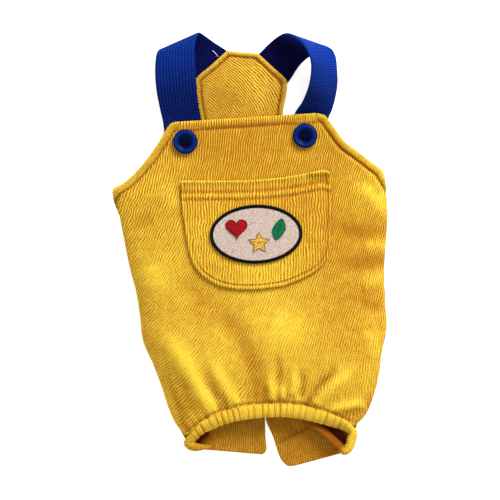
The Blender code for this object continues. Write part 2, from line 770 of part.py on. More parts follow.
def centre_on_floor(garment):
    """Moves the garment so that its box is centred over the origin and stands on z = 0."""
    bpy.context.view_layer.update()
    graph = bpy.context.evaluated_depsgraph_get()
    corners = []
    for item in garment.children:
        if not item.hide_render:
            shown = item.evaluated_get(graph)
            corners += [shown.matrix_world @ Vector(corner) for corner in shown.bound_box]
    low = Vector([min(corner[k] for corner in corners) for k in range(3)])
    high = Vector([max(corner[k] for corner in corners) for k in range(3)])
    garment.location = (-(low.x + high.x) / 2, -(low.y + high.y) / 2, -low.z)


def build():
    clear_scene()
    garment = bpy.data.objects.new("garment", None)
    bpy.context.collection.objects.link(garment)
    make_back_panel(garment)
    make_front_panel(garment)
    make_elastic_hem(garment)
    make_pocket(garment)
    make_badge(garment)
    make_badge_border(garment)
    make_motif("heart", heart_outline(), "thread_red", garment)
    make_motif("star", star_outline(), "thread_yellow", garment)
    make_motif("leaf", leaf_outline(), "thread_green", garment)
    for side in ("left", "right"):
        make_strap(side, garment)
        make_button(side, garment)
        make_button_thread(side, garment)
    centre_on_floor(garment)
    bpy.context.view_layer.update()


build()
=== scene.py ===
"""The finished look of knitted dog suspender pants, laid flat with the bib and pocket up.

Units are metres and +Z is up. Places on the garment are given as shares: across counts from
the middle in body widths, and down counts from the bib's top edge in body lengths.
"""

import math

import bmesh
import bpy
import numpy as np
from mathutils import Matrix, Vector
from mathutils.kdtree import KDTree


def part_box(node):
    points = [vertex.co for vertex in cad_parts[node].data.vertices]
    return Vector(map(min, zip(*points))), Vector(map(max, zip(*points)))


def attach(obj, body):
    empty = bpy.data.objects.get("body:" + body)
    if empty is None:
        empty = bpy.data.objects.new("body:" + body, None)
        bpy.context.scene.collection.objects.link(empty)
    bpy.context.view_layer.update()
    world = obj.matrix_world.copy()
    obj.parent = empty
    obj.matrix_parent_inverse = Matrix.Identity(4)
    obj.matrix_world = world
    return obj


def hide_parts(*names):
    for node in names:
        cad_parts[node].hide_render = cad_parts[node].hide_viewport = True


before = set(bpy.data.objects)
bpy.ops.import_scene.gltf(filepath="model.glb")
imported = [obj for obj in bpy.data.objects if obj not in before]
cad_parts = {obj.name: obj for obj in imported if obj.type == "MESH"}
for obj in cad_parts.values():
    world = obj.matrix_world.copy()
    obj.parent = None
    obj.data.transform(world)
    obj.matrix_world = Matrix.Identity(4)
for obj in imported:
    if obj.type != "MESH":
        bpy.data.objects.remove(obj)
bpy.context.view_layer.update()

# Sizes of the solids that the pieces stand for
BODY_WIDTH = 0.1684
BODY_LENGTH = 0.2013
BODY_PUFF = 0.0180
CLOTH = 0.0020
POCKET_CLOTH = 0.0016
GAP = 0.0003
SEAT = 0.0004
HEM_WIDTH = 0.0085
HEM_THICKNESS = 0.0048
HEM_RISE = 0.0120
GATHER_PITCH = 0.0045
INNER_BAND = 0.0250         # the stretch of the hem that runs back inside the right corner
WEBBING_WIDTH = 0.0250
WEBBING = 0.0015
BUTTON_DIAMETER = 0.0150
BUTTON_THICKNESS = 0.0030
BUTTON_DISH = 0.0080
BUTTON_WEB = 0.0018
BUTTON_HOLE = 0.0018
BUTTON_HOLE_SPACING = 0.0031
BADGE_WIDTH = 0.0560
BADGE_HEIGHT = 0.0356
BADGE_FELT = 0.0010
BADGE_BORDER = 0.0018
BACK_TOP = CLOTH
SIDE_RISE = BACK_TOP + GAP + 0.65 * CLOTH
TAB_LIFT = WEBBING + 2 * GAP
BIB_UNDERSIDE = BACK_TOP + WEBBING + 3.5 * GAP
BIB_RISE = BIB_UNDERSIDE + CLOTH
STRAP_ROOT_LEVEL = WEBBING / 2
STRAP_END_LEVEL = BIB_UNDERSIDE - GAP - WEBBING / 2

MILLIMETRE = 0.001

# Finer sizes
WALE_PITCH = 0.00170        # one knitted rib
COURSE_PITCH = 0.00190      # one loop along a rib
STRIP_CLOSENESS = 1.70      # ribs in one WALE_PITCH along a turned hem
CASING_CLOSENESS = 1.6
BIB_HEM = 0.0058            # from the bib's top edge to its line of stitches
ARMHOLE_HEM = 0.0049
TAB_HEM = 0.0034
FOLD_DEPTH = 0.75
FLAP_ROUNDING = 0.0009      # how far the right flap's corner at the slit is rounded off
BACK_INSET = 0.0012         # how far the back stays inside the front's side edges
HEM_LIP = 0.0007            # how far a turned hem stands proud
HEM_GROOVE = (0.0007, 0.0015)    # its stitched groove's depth, and that at the right armhole
HEM_PUFF = (0.0004, 0.0016)      # how far the cloth puffs past it, and at the right armhole
PLEAT = 0.0004
POCKET_HEM = (0.0073, 0.0120)    # from the pocket's top edge to its two lines of stitches
POCKET_LIP = 0.0016
POCKET_MARGIN = 0.0027      # from the pocket's edge to its line of stitches
POCKET_BULGE = 0.0011       # how far the bottom edge bows down between its last two places
STITCH = 0.0019
STITCH_PITCH = 0.0027
STITCH_THREAD = 0.00042
HEM_TOOTH_THREAD = 0.00046
HEM_TOOTH_PITCH = 0.0014
BUTTON_THREAD = 0.00060
RIM_THREAD = 0.00052
RIM_WINDS = 330
SATIN_THREAD = 0.00046
SATIN_PITCH = 0.00034
SATIN_RISE = 0.00045
OUTLINE_THREAD = 0.00040
OUTLINE_RISE = 0.00062
STRAY_THREAD_WIDTH = 0.00032
WEAVE_ACROSS = 0.00195
WEAVE_ALONG = 0.00145
TWILL_PITCH = 0.0008
EDGE_STEPS = (0.0, 0.00015, 0.00050, 0.00110)
TUCKS = (0.0008, 0.0018, 0.0026, 0.0032)

# How fine the meshes are
FRONT_GRID = (214, 184)
POCKET_GRID = (112, 132)
BACK_COLUMNS = 56           # in each half
CASING_STEP = 0.00035
CASING_SIDES = 40
STRAP_STEP = 0.00045
STRAP_COLUMNS = 58
BUTTON_SEGMENTS = 96
HOLE_SEGMENTS = 28
BADGE_RINGS = 28
BADGE_SEGMENTS = 120

# Picture: width of the floor that it spans, and lights as place, size, power
VIEW_WIDTH = 0.305
CAMERA_DISTANCE = 4.0
KEY_LIGHT = ((0.60, 0.95, 0.85), 0.7, 27)
FILL_LIGHT = ((-0.5, -0.4, 1.4), 1.4, 6)
SKY = (1.0, 0.91, 0.76)
SKY_STRENGTH = 0.52
LIGHTWARD = (0.53, 0.85)    # the key light's direction over the floor

# Front panel: left across, left down, right across, right down,
# edge lift (0 sewn to the back, 1 a free bib edge), arch (share of the hem's arch), crown
FRONT_ROWS = (
    (-0.250, 0.003, 0.239, -0.023, 1.0, 0.00, 0.37),
    (-0.290, 0.012, 0.275, -0.012, 1.0, 0.00, 0.38),
    (-0.326, 0.058, 0.308, 0.024, 1.0, 0.00, 0.39),
    (-0.362, 0.103, 0.344, 0.064, 1.0, 0.00, 0.41),
    (-0.406, 0.148, 0.391, 0.094, 0.9, 0.00, 0.44),
    (-0.453, 0.185, 0.438, 0.124, 0.6, 0.00, 0.48),
    (-0.500, 0.215, 0.486, 0.161, 0.3, 0.00, 0.53),
    (-0.480, 0.267, 0.496, 0.230, 0.1, 0.00, 0.61),
    (-0.460, 0.348, 0.498, 0.309, 0.0, 0.00, 0.70),
    (-0.438, 0.439, 0.491, 0.394, 0.0, 0.00, 0.78),
    (-0.413, 0.521, 0.487, 0.470, 0.0, 0.00, 0.85),
    (-0.399, 0.591, 0.491, 0.555, 0.0, 0.00, 0.92),
    (-0.388, 0.667, 0.495, 0.630, 0.0, 0.05, 0.98),
    (-0.351, 0.739, 0.478, 0.703, 0.0, 0.17, 1.00),
    (-0.322, 0.803, 0.466, 0.776, 0.0, 0.37, 0.97),
    (-0.297, 0.867, 0.446, 0.839, 0.0, 0.61, 0.90),
    (-0.268, 0.921, 0.420, 0.891, 0.0, 0.84, 0.80),
    (-0.236, 0.952, 0.384, 0.921, 0.0, 1.00, 0.72),
)
ARMHOLE_END = 6             # the row where both armholes meet the side seams
ARCH_RISE = 0.083
ARCH_LEFT_POWER = 3.0
ARCH_RIGHT_POWER = 2.0

# Folds and hollows: height and half width in millimetres, then the places that they run through
# from the end that fades out
FOLDS = (
    (2.5, 6.0, ((-0.320, 0.640), (-0.262, 0.712), (-0.218, 0.772), (-0.178, 0.830), (-0.150, 0.862))),
    (-1.1, 3.4, ((-0.190, 0.757), (-0.155, 0.806), (-0.126, 0.845), (-0.112, 0.868))),
    (-0.9, 5.0, ((-0.262, 0.770), (-0.240, 0.815), (-0.236, 0.870))),
    (1.9, 4.4, ((-0.140, 0.722), (-0.117, 0.772), (-0.087, 0.818), (-0.058, 0.855))),
    (-1.7, 7.0, (
        (-0.145, 0.560), (-0.108, 0.600), (-0.052, 0.645),
        (-0.018, 0.700), (0.004, 0.755), (0.026, 0.835),
    )),
    (1.4, 13.0, ((0.060, 0.620), (0.125, 0.640))),
    (-1.3, 3.0, ((0.098, 0.715), (0.102, 0.800))),
    (1.3, 2.4, ((0.070, 0.780), (0.076, 0.840))),
    (1.1, 2.0, ((0.112, 0.795), (0.116, 0.835))),
    (1.3, 2.4, ((0.160, 0.755), (0.150, 0.822))),
    (-1.2, 2.4, ((0.190, 0.760), (0.184, 0.830))),
    (-2.4, 2.4, ((0.300, 0.762), (0.242, 0.818), (0.206, 0.862))),
    (2.1, 4.2, ((0.370, 0.755), (0.300, 0.808), (0.245, 0.855))),
    (1.7, 3.0, ((0.275, 0.885), (0.335, 0.868), (0.395, 0.862))),
    (-1.0, 4.0, ((0.330, 0.905), (0.390, 0.890), (0.430, 0.860))),
    (-1.3, 5.4, ((0.290, 0.330), (0.400, 0.352), (0.490, 0.345))),
    (-1.2, 5.0, ((0.320, 0.450), (0.410, 0.445), (0.475, 0.432))),
    (1.6, 5.0, ((0.380, 0.205), (0.430, 0.225), (0.470, 0.270))),
    (1.1, 5.0, ((0.400, 0.390), (0.470, 0.385))),
    (1.2, 5.0, ((0.400, 0.500), (0.460, 0.490))),
    (-0.9, 5.2, ((0.385, 0.555), (0.450, 0.570))),
    (1.2, 5.0, ((0.430, 0.630), (0.440, 0.700))),
    (1.1, 7.0, ((-0.370, 0.440), (-0.350, 0.500))),
    (-0.7, 7.0, ((-0.260, 0.470), (-0.200, 0.540), (-0.180, 0.610))),
    (-0.9, 5.0, ((-0.350, 0.300), (-0.400, 0.320))),
    (0.9, 6.0, ((-0.330, 0.200), (-0.290, 0.250))),
    (-1.3, 3.4, ((-0.308, 0.767), (-0.286, 0.818), (-0.261, 0.879), (-0.239, 0.930))),
)

# Broad patches of painted light and shade on the front: across, down, radius (of the body's width),
# lightness
PAINTED_SHADING_PATCHES = (
    (0.000, 0.060, 0.260, -0.75),
    (-0.200, 0.060, 0.120, -0.30),
    (0.300, 0.110, 0.100, -0.35),
    (0.370, 0.370, 0.150, -0.60),
    (0.370, 0.560, 0.130, -0.40),
    (-0.330, 0.460, 0.090, 0.45),
    (-0.200, 0.740, 0.160, 0.35),
    (0.080, 0.640, 0.110, 0.40),
    (0.440, 0.230, 0.070, 0.50),
    (0.300, 0.830, 0.140, 0.15),
    (0.120, 0.780, 0.100, 0.30),
    (0.050, 0.450, 0.090, 0.45),
    (0.220, 0.260, 0.110, -0.35),
    (-0.210, 0.330, 0.050, 0.25),
)

# Back panel with its tab: left across, left down, right across, right down, lift (of TAB_LIFT)
BACK_ROWS = (
    (-0.083, -0.212, 0.029, -0.203, 1.00),
    (-0.138, -0.170, 0.080, -0.164, 1.00),
    (-0.192, -0.130, 0.129, -0.126, 1.00),
    (-0.197, -0.097, 0.134, -0.100, 0.95),
    (-0.194, -0.061, 0.130, -0.070, 0.55),
    (-0.184, -0.012, 0.120, -0.024, 0.00),
    (-0.170, 0.045, 0.116, 0.036, 0.00),
    (-0.170, 0.097, 0.116, 0.091, 0.00),
    (-0.225, 0.136, 0.188, 0.121, 0.00),
    (-0.333, 0.179, 0.344, 0.145, 0.00),
    (-0.496, 0.217, 0.485, 0.171, 0.00),
    (-0.467, 0.321, 0.496, 0.279, 0.00),
    (-0.420, 0.503, 0.486, 0.500, 0.00),
    (-0.388, 0.661, 0.491, 0.667, 0.00),
    (-0.315, 0.821, 0.453, 0.818, 0.00),
    (-0.286, 0.888, 0.428, 0.873, 0.00),
    (-0.254, 0.936, 0.388, 0.918, 0.00),
    (-0.228, 0.973, 0.382, 0.964, 0.00),
    (-0.217, 0.984, 0.375, 0.983, 0.00),
    (-0.196, 0.995, 0.359, 1.002, 0.00),
)
BACK_ARMHOLE_END = 10
# Where the back's mesh rows lie: first row, last row, number of mesh rows
BACK_SPANS = ((0, 1, 24), (1, 8, 120), (8, 15, 50), (15, 19, 64))
# The slit between the flaps, one row for each of the back's last rows:
# left across, left down, right across, right down
SLIT_ROWS = (
    (0.053, 0.864, 0.053, 0.864),
    (0.054, 0.909, 0.058, 0.909),
    (0.056, 0.958, 0.083, 0.958),
    (0.060, 0.997, 0.109, 1.021),
    (0.045, 1.012, 0.136, 1.052),
)
SLIT_START = len(BACK_ROWS) - len(SLIT_ROWS)

# Pocket: left across, left down, right across, right down
POCKET_ROWS = (
    (-0.254, 0.182, 0.290, 0.147),
    (-0.250, 0.242, 0.295, 0.212),
    (-0.241, 0.309, 0.295, 0.282),
    (-0.228, 0.376, 0.295, 0.352),
    (-0.212, 0.424, 0.288, 0.403),
    (-0.185, 0.461, 0.264, 0.439),
    (-0.149, 0.486, 0.225, 0.465),
    (-0.105, 0.503, 0.181, 0.483),
    (-0.051, 0.512, 0.130, 0.500),
)

POCKET_CORNER = ((0.230, 0.162), (0.276, 0.158))    # where the folded hem bulges

BUTTON_PLACES = {"left": (-0.234, 0.065), "right": (0.199, 0.047)}
ROOT_PLACES = {"left": (-0.140, -0.170), "right": (0.090, -0.163)}
BADGE_PLACE = (0.022, 0.345)
BADGE_TILT = math.radians(2)

# Straps, root to button: share of the way, then inner edge and outer edge as
# across, along, up in webbing widths from the point that far along the way
STRAP_ROWS = {
    "left": (
        (0.00, 0.55, 0.16, 0.00, -0.15, -0.54, 0.00),
        (0.00, 0.36, 0.34, 0.00, -0.36, -0.34, 0.00),
        (0.10, 0.13, 0.72, 0.04, -0.70, 0.18, 0.03),
        (0.15, -0.03, 0.95, 0.14, -0.99, 0.52, 0.12),
        (0.20, -0.16, 1.13, 0.32, -1.10, 0.71, 0.28),
        (0.25, -0.20, 1.10, 0.48, -1.17, 0.72, 0.44),
        (0.30, -0.21, 0.95, 0.52, -1.17, 0.61, 0.42),
        (0.45, -0.10, 0.82, 0.48, -1.08, 0.55, 0.34),
        (0.60, 0.02, 0.62, 0.38, -0.95, 0.45, 0.24),
        (0.75, 0.16, 0.46, 0.20, -0.78, 0.34, 0.10),
        (0.90, 0.32, 0.38, 0.02, -0.61, 0.29, 0.00),
        (1.00, 0.43, 0.16, 0.00, -0.50, 0.09, 0.00),
        (1.00, 0.45, -0.26, 0.00, -0.45, -0.30, 0.00),
    ),
    "right": (
        (0.00, -0.53, 0.23, 0.00, 0.13, -0.53, 0.00),
        (0.00, -0.35, 0.35, 0.00, 0.35, -0.35, 0.00),
        (0.05, -0.18, 0.64, 0.06, 0.55, 0.09, 0.05),
        (0.10, -0.02, 0.88, 0.24, 0.79, 0.42, 0.16),
        (0.15, 0.14, 1.04, 0.48, 1.04, 0.65, 0.32),
        (0.20, 0.32, 1.05, 0.76, 1.21, 0.76, 0.36),
        (0.25, 0.50, 0.95, 0.96, 1.29, 0.65, 0.32),
        (0.35, 0.58, 0.82, 1.04, 1.25, 0.50, 0.32),
        (0.45, 0.55, 0.67, 0.96, 1.19, 0.35, 0.26),
        (0.60, 0.38, 0.53, 0.80, 1.03, 0.26, 0.18),
        (0.75, 0.11, 0.39, 0.32, 0.84, 0.20, 0.05),
        (0.88, -0.15, 0.37, 0.00, 0.67, 0.25, 0.00),
        (1.00, -0.41, 0.13, 0.00, 0.49, 0.04, 0.00),
        (1.00, -0.48, -0.30, 0.00, 0.46, -0.35, 0.00),
    ),
}

# The casing past the front panel's corners, in hem widths from each corner:
# across, along, upright (0 lies flat, 1 stands on edge)
HEM_LEFT_TURN = (
    (1.90, -0.84, 0.30),
    (1.34, -0.87, 0.75),
    (0.92, -0.88, 0.90),
    (0.53, -0.78, 1.00),
    (0.33, -0.50, 1.00),
)
HEM_RIGHT_TURN = (
    (-0.28, -0.52, 1.00),
    (-0.34, -1.08, 1.00),
    (-0.50, -1.58, 1.00),
    (-0.84, -1.86, 0.90),
    (-1.38, -1.38, 0.75),
    (-1.90, -0.88, 0.70),
    (-2.45, -0.38, 0.65),
    (-2.95, 0.00, 0.45),
    (-3.35, 0.40, 0.15),
)
# Where the casing's path is set along the front's lower edge, as shares of its length
HEM_FRONT = (0.07, 0.12, 0.20, 0.30, 0.40, 0.50, 0.60, 0.70, 0.80, 0.88, 0.94)

# Motifs on the badge: across and down as shares of its half axes, size as a share of its height,
# angle of the stitches, and the threads of the filling and of the outline
MOTIFS = {
    "heart": (-0.42, -0.18, 0.34, 0.5, "red", "dark_red"),
    "star": (0.06, 0.30, 0.38, -0.3, "yellow", "brown"),
    "leaf": (0.50, -0.14, 0.36, -0.6, "green", "dark_green"),
}

# Lean of the knitted ribs: across, down, degrees from straight up (more to the right),
# closeness (ribs in one WALE_PITCH)
FRONT_LEAN = (
    (-0.362, 0.242, 34, 1.20),
    (-0.290, 0.170, 34, 1.05),
    (-0.181, 0.110, 23, 1.00),
    (-0.080, 0.100, 14, 1.00),
    (0.000, 0.091, 4, 1.00),
    (0.200, 0.080, 0, 1.00),
    (-0.471, 0.424, 28, 1.22),
    (-0.180, 0.545, 35, 1.32),
    (0.000, 0.545, 27, 1.32),
    (-0.072, 0.636, 42, 1.38),
    (-0.290, 0.788, 54, 1.52),
    (0.000, 0.800, 28, 1.45),
    (0.180, 0.697, -5, 1.36),
    (0.326, 0.848, -12, 1.36),
    (0.435, 0.394, 0, 1.20),
    (0.400, 0.242, 0, 1.10),
)
BACK_LEAN = (
    (-0.100, -0.150, -42, 1.25),
    (0.050, -0.150, -44, 1.25),
    (-0.030, -0.050, -40, 1.25),
    (-0.030, 0.080, -30, 1.20),
    (-0.200, 0.400, 0, 1.10),
    (0.200, 0.400, 0, 1.10),
    (-0.150, 0.920, 32, 1.65),
    (-0.050, 0.980, 30, 1.65),
    (0.150, 0.960, -28, 1.65),
    (0.280, 0.960, -30, 1.65),
)

# Seams on the right flap, as places on the back panel
FLAP_SEAM = ((0.107, 0.976), (0.226, 0.923))
FLAP_STITCHES = (
    ((0.112, 0.908), (0.117, 0.961)),
    ((0.145, 0.908), (0.156, 0.955)),
    ((0.100, 0.969), (0.222, 0.915)),
)
# Patches of painted light and shade on the back: across, down, radius (of the body's width), lightness
BACK_PATCHES = (
    (0.045, -0.085, 0.060, 0.50),
    (-0.100, -0.065, 0.070, -0.40),
    (-0.020, -0.160, 0.080, 0.15),
)
# Deep hollows inside the hem's corners, where hardly any light comes in
HOLLOWS = (
    ((-0.206, 0.982), (-0.166, 0.946)),
    ((0.265, 0.905), (0.304, 0.930), (0.335, 0.972)),
)

# Painted light and shade on the webbing along the way from the root to the button, lighter where the loop
# turns up towards the key light: share, lightness
STRAP_LIGHT = {
    "left": (
        (0.00, -0.25), (0.22, -0.25), (0.30, -0.05), (0.36, 0.30),
        (0.46, 0.22), (0.62, -0.02), (1.00, -0.08),
    ),
    "right": (
        (0.00, -0.40), (0.20, -0.40), (0.27, 0.02), (0.34, 0.50),
        (0.45, 0.34), (0.60, 0.12), (1.00, -0.05),
    ),
}

# A loose thread: across, down, height over the tab in millimetres
STRAY_THREAD = (
    (-0.116, -0.192, 0.2),
    (-0.121, -0.198, 1.4),
    (-0.128, -0.205, 2.2),
    (-0.136, -0.211, 2.6),
)

# The pocket's top edge sags: share across, how far down in millimetres
POCKET_SAG = (
    (0.00, 0.0), (0.23, 1.5), (0.45, 2.8), (0.68, 2.7),
    (0.81, 1.6), (0.90, 0.5), (0.96, 0.2), (1.00, 1.6),
)


def smooth_rows(rows, positions):
    """The table's rows at fractional positions, on a smooth curve through all of them."""
    table = np.array(rows, float)
    last = len(table) - 1
    index = np.minimum(positions.astype(int), last - 1)
    t = (positions - index)[:, None]
    before = table[np.maximum(index - 1, 0)]
    after = table[np.minimum(index + 2, last)]
    near = table[index] * (2 - 5 * t**2 + 3 * t**3)
    far = table[index + 1] * (t + 4 * t**2 - 3 * t**3)
    return (before * (-t + 2 * t**2 - t**3) + near + far + after * (t**3 - t**2)) / 2


def blend(low, high, share):
    return low + (high - low) * share


def soft_step(value, low, high):
    share = np.clip((value - low) / (high - low), 0, 1)
    return share * share * (3 - 2 * share)


def bump(distance, width):
    return np.exp(-(distance / width) ** 2)


def plan(across, down):
    """Floor place of a point given in shares, before the garment is centred."""
    return np.stack(np.broadcast_arrays(across * BODY_WIDTH, -down * BODY_LENGTH), axis=-1)


def trail(places):
    """Floor places of a line that is given as (across, down) pairs."""
    return plan(*np.transpose(places))


def away_from(place, x, y):
    """Distance of each floor place from one (across, down) place."""
    centre = plan(*place)
    return np.hypot(x - centre[0], y - centre[1])


def circle(count):
    """Angles of points that lie evenly round a circle."""
    return 2 * math.pi * np.arange(count) / count


def unit(vectors):
    """The vectors, each at a length of one."""
    return vectors / np.maximum(np.linalg.norm(vectors, axis=1), 1e-12)[:, None]


def walked(line):
    """Length along a line up to each of its points."""
    return np.concatenate([[0], np.cumsum(np.linalg.norm(np.diff(line, axis=0), axis=1))])


def headings(line):
    """Unit direction of a line at each of its points."""
    return unit(np.gradient(line, axis=0))


def garment_origin():
    low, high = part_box("button_left")
    place = plan(*BUTTON_PLACES["left"])
    return np.array([(low.x + high.x) / 2 - place[0], (low.y + high.y) / 2 - place[1], 0.0])


ORIGIN = garment_origin()


def arch(s):
    power = np.where(s < 0.5, ARCH_LEFT_POWER, ARCH_RIGHT_POWER)
    return 1 - np.abs(2 * s - 1) ** power


def crown_profile(s):
    return np.sqrt(np.maximum(1 - np.abs(2 * s - 1) ** 4, 0))


SIDE_SAMPLES = smooth_rows(FRONT_ROWS, np.arange(4 * (len(FRONT_ROWS) - 1) + 1) / 4)
ARCH_START = FRONT_ROWS[11][1]
ARCH_FULL = FRONT_ROWS[16][3]


def line_distance(x, y, line):
    """Distance from each place to a broken line, and the length along the line to there."""
    best = np.full(x.shape, np.inf)
    along = np.zeros(x.shape)
    passed = 0.0
    for start, end in zip(line, line[1:]):
        step = end - start
        length = math.hypot(*step)
        if length == 0:
            continue
        share = np.clip(((x - start[0]) * step[0] + (y - start[1]) * step[1]) / length**2, 0, 1)
        distance = np.hypot(x - start[0] - share * step[0], y - start[1] - share * step[1])
        closer = distance < best
        best = np.where(closer, distance, best)
        along = np.where(closer, passed + share * length, along)
        passed += length
    return best, along


def beside(places, width, x, y):
    """1 on a line that is given as (across, down) pairs, and less away from it."""
    return bump(line_distance(x, y, trail(places))[0], width)


def side_line(rows, columns, first, last):
    """One side's edge between two rows of a table, as places on the floor."""
    found = smooth_rows(rows, np.linspace(first, last, 6 * (last - first) + 1))
    return trail(found[:, columns])


def front_across(row, s):
    """Places across the front panel at one smooth row."""
    left_x, left_d, right_x, right_d, _, arched, _ = row
    return plan(blend(left_x, right_x, s), blend(left_d, right_d, s) - ARCH_RISE * arched * arch(s))


BIB_EDGE = front_across(FRONT_ROWS[0], np.linspace(0, 1, 12))
ARMHOLE_EDGES = {
    "left": side_line(FRONT_ROWS, (0, 1), 0, ARMHOLE_END),
    "right": side_line(FRONT_ROWS, (2, 3), 0, ARMHOLE_END),
}
HEM_EDGE = front_across(FRONT_ROWS[-1], np.linspace(0, 1, 60))


def folds_height(x, y):
    """Height of all the folds together, each rising from the end that fades out."""
    total = np.zeros(x.shape)
    for height, half_width, places in FOLDS:
        line = trail(places)
        distance, along = line_distance(x, y, line)
        risen = soft_step(along / walked(line)[-1], -0.20, 0.45)
        total += height * MILLIMETRE * risen * bump(distance, half_width * MILLIMETRE)
    return total


def patches(table, x, y):
    """Painted lightness of round patches at each place."""
    total = np.zeros(x.shape)
    for across, down, radius, lightness in table:
        total += lightness * bump(away_from((across, down), x, y), radius * BODY_WIDTH)
    return total


def cloth_painted_shading(x, y):
    """Painted light and shade: lighter on fold tops and on sides that face the key light, darker in hollows,
    on sides turned away, and in broad patches.
    """
    height = folds_height(x, y)
    ahead = folds_height(x + LIGHTWARD[0] * MILLIMETRE, y + LIGHTWARD[1] * MILLIMETRE)
    lit = height / (3 * MILLIMETRE) + 1.7 * (height - ahead) / MILLIMETRE
    return lit + patches(PAINTED_SHADING_PATCHES, x, y)


def open_height(x, y):
    """Height of the front panel's outer face, before the buttons press it flat."""
    down = -y / BODY_LENGTH
    left, left_lift = (np.interp(down, SIDE_SAMPLES[:, 1], SIDE_SAMPLES[:, k]) for k in (0, 4))
    right, right_lift = (np.interp(down, SIDE_SAMPLES[:, 3], SIDE_SAMPLES[:, k]) for k in (2, 4))
    s = np.clip((x / BODY_WIDTH - left) / (right - left), 0, 1)
    arched = down + ARCH_RISE * soft_step(down, ARCH_START, ARCH_FULL) * arch(s)
    middle = (SIDE_SAMPLES[:, 1] + SIDE_SAMPLES[:, 3]) / 2
    crown = np.interp(arched, middle, SIDE_SAMPLES[:, 6]) * BODY_PUFF
    edge = blend(SIDE_RISE, BIB_RISE, blend(left_lift, right_lift, s))
    free = [line_distance(x, y, line)[0] for line in (BIB_EDGE, *ARMHOLE_EDGES.values())]
    profile = crown_profile(s) * soft_step(np.min(free, axis=0), -0.0015, 0.0050)
    return blend(edge, np.maximum(crown, edge), profile) + FOLD_DEPTH * folds_height(x, y) * profile


def run_on(line, reach):
    """A line with a straight piece added at its end."""
    step = line[-1] - line[-2]
    return np.concatenate([line, [line[-1] + step / np.linalg.norm(step) * reach]])


HEM_LINES = {side: run_on(line, 0.014) for side, line in ARMHOLE_EDGES.items()}


def hem_shares(x, y):
    """Distances from the bib's edge and from both armholes, each as a share of its hem's width."""
    bib = line_distance(x, y, BIB_EDGE)[0] / BIB_HEM
    left = line_distance(x, y, HEM_LINES["left"])[0] / ARMHOLE_HEM
    right = line_distance(x, y, HEM_LINES["right"])[0] / ARMHOLE_HEM
    return bib, left, right


def hem_relief(x, y):
    """Turned hems: a raised lip, the stitched groove, and the cloth that puffs past it."""
    bib, left, right = hem_shares(x, y)
    near_right = soft_step(np.minimum(bib, left) - right, -0.6, 0.6)
    share = np.minimum(np.minimum(bib, left), right)
    inner = (share - 1) * ARMHOLE_HEM
    lip = HEM_LIP * soft_step(share, -0.15, 0.50) * (1 - soft_step(share, 0.50, 1.0))
    groove = -blend(*HEM_GROOVE, near_right) * bump(inner, 0.0007)
    puff = soft_step(inner, 0.0004, 0.0022) * np.exp(-np.maximum(inner - 0.0022, 0) / 0.009)
    return lip + groove + blend(*HEM_PUFF, near_right) * puff


def hem_painted_shading(distance, width):
    """Painted highlight along a turned edge and painted shade in the stitched groove."""
    return 0.8 * bump(distance - 0.0005, 0.0010) - 1.0 * bump(distance - width, 0.0008)


def front_height(x, y):
    """Height of the front panel's outer face, with its hems, and level under each button."""
    height = open_height(x, y) + hem_relief(x, y)
    distance, along = line_distance(x, y, HEM_EDGE)
    turns = math.pi * along / GATHER_PITCH
    pleats = np.sin(2 * turns) + 0.6 * np.sin(5.1 * turns)
    height = height + PLEAT * pleats * np.exp(-distance / 0.005) - 0.0006 * bump(distance, 0.0012)
    for place in BUTTON_PLACES.values():
        level = 1 - soft_step(away_from(place, x, y) / BUTTON_DIAMETER, 0.62, 1.0)
        height = blend(height, open_height(*plan(*place)[:, None])[0], level)
    return height


def pocket_relief(x, y):
    """How far the pocket's face stands above the cloth under it."""
    side = line_distance(x, y, POCKET_SEWN)[0]
    top = line_distance(x, y, POCKET_TOP)[0]
    inside = soft_step(side, 0, POCKET_MARGIN)
    relief = 0.0005 * np.sin(math.pi * np.clip(side / POCKET_MARGIN, 0, 1))
    relief -= 0.0007 * bump(side - POCKET_MARGIN, 0.0005)
    relief += 0.0007 * soft_step(side, POCKET_MARGIN, 0.012)
    relief += POCKET_LIP * bump(top - 0.0006, 0.0016)
    for row in POCKET_HEM:
        relief -= 0.0007 * bump(top - row, 0.0007) * inside
    relief += 0.0005 * bump(top - sum(POCKET_HEM) / 2, 0.0014) * inside
    return relief + 0.0022 * bump(line_distance(x, y, POCKET_FOLD)[0], 0.0024)


def pocket_painted_shading(x, y):
    side = line_distance(x, y, POCKET_SEWN)[0]
    top = line_distance(x, y, POCKET_TOP)[0]
    # Painted highlight on the top lip and on the band between the hem's stitches, painted shade along the
    # stitched grooves
    painted_shading = cloth_painted_shading(x, y) + 1.3 * bump(top - 0.0008, 0.0015) - 0.45 * bump(side - POCKET_MARGIN, 0.0006)
    for row in POCKET_HEM:
        painted_shading -= 0.9 * bump(top - row, 0.0008)
    return painted_shading + 0.4 * bump(top - sum(POCKET_HEM) / 2, 0.0012)


def pocket_outline():
    """Floor places along the pocket's sewn sides and bottom, and along its top edge."""
    found = smooth_rows(POCKET_ROWS, np.linspace(0, len(POCKET_ROWS) - 1, 60))
    left, right = trail(found[:, :2]), trail(found[:, 2:])
    along = np.linspace(0, 1, 12)[1:-1, None]
    bottom = blend(left[-1], right[-1], along)
    bottom[:, 1] -= POCKET_BULGE * 4 * (along * (1 - along))[:, 0]
    u = np.linspace(0, 1, 24)
    top = blend(left[0], right[0], u[:, None])
    top[:, 1] -= pocket_sag(u)
    return np.concatenate([left, bottom, right[::-1]]), top


def pocket_sag(u):
    table = np.array(POCKET_SAG)
    smooth = smooth_rows(POCKET_SAG, np.interp(u, table[:, 0], np.arange(len(table))))
    return smooth[:, 1] * MILLIMETRE


POCKET_SEWN, POCKET_TOP = pocket_outline()
POCKET_FOLD = trail(POCKET_CORNER)


def pocket_height(x, y):
    return front_height(x, y) + SEAT + POCKET_CLOTH + pocket_relief(x, y)


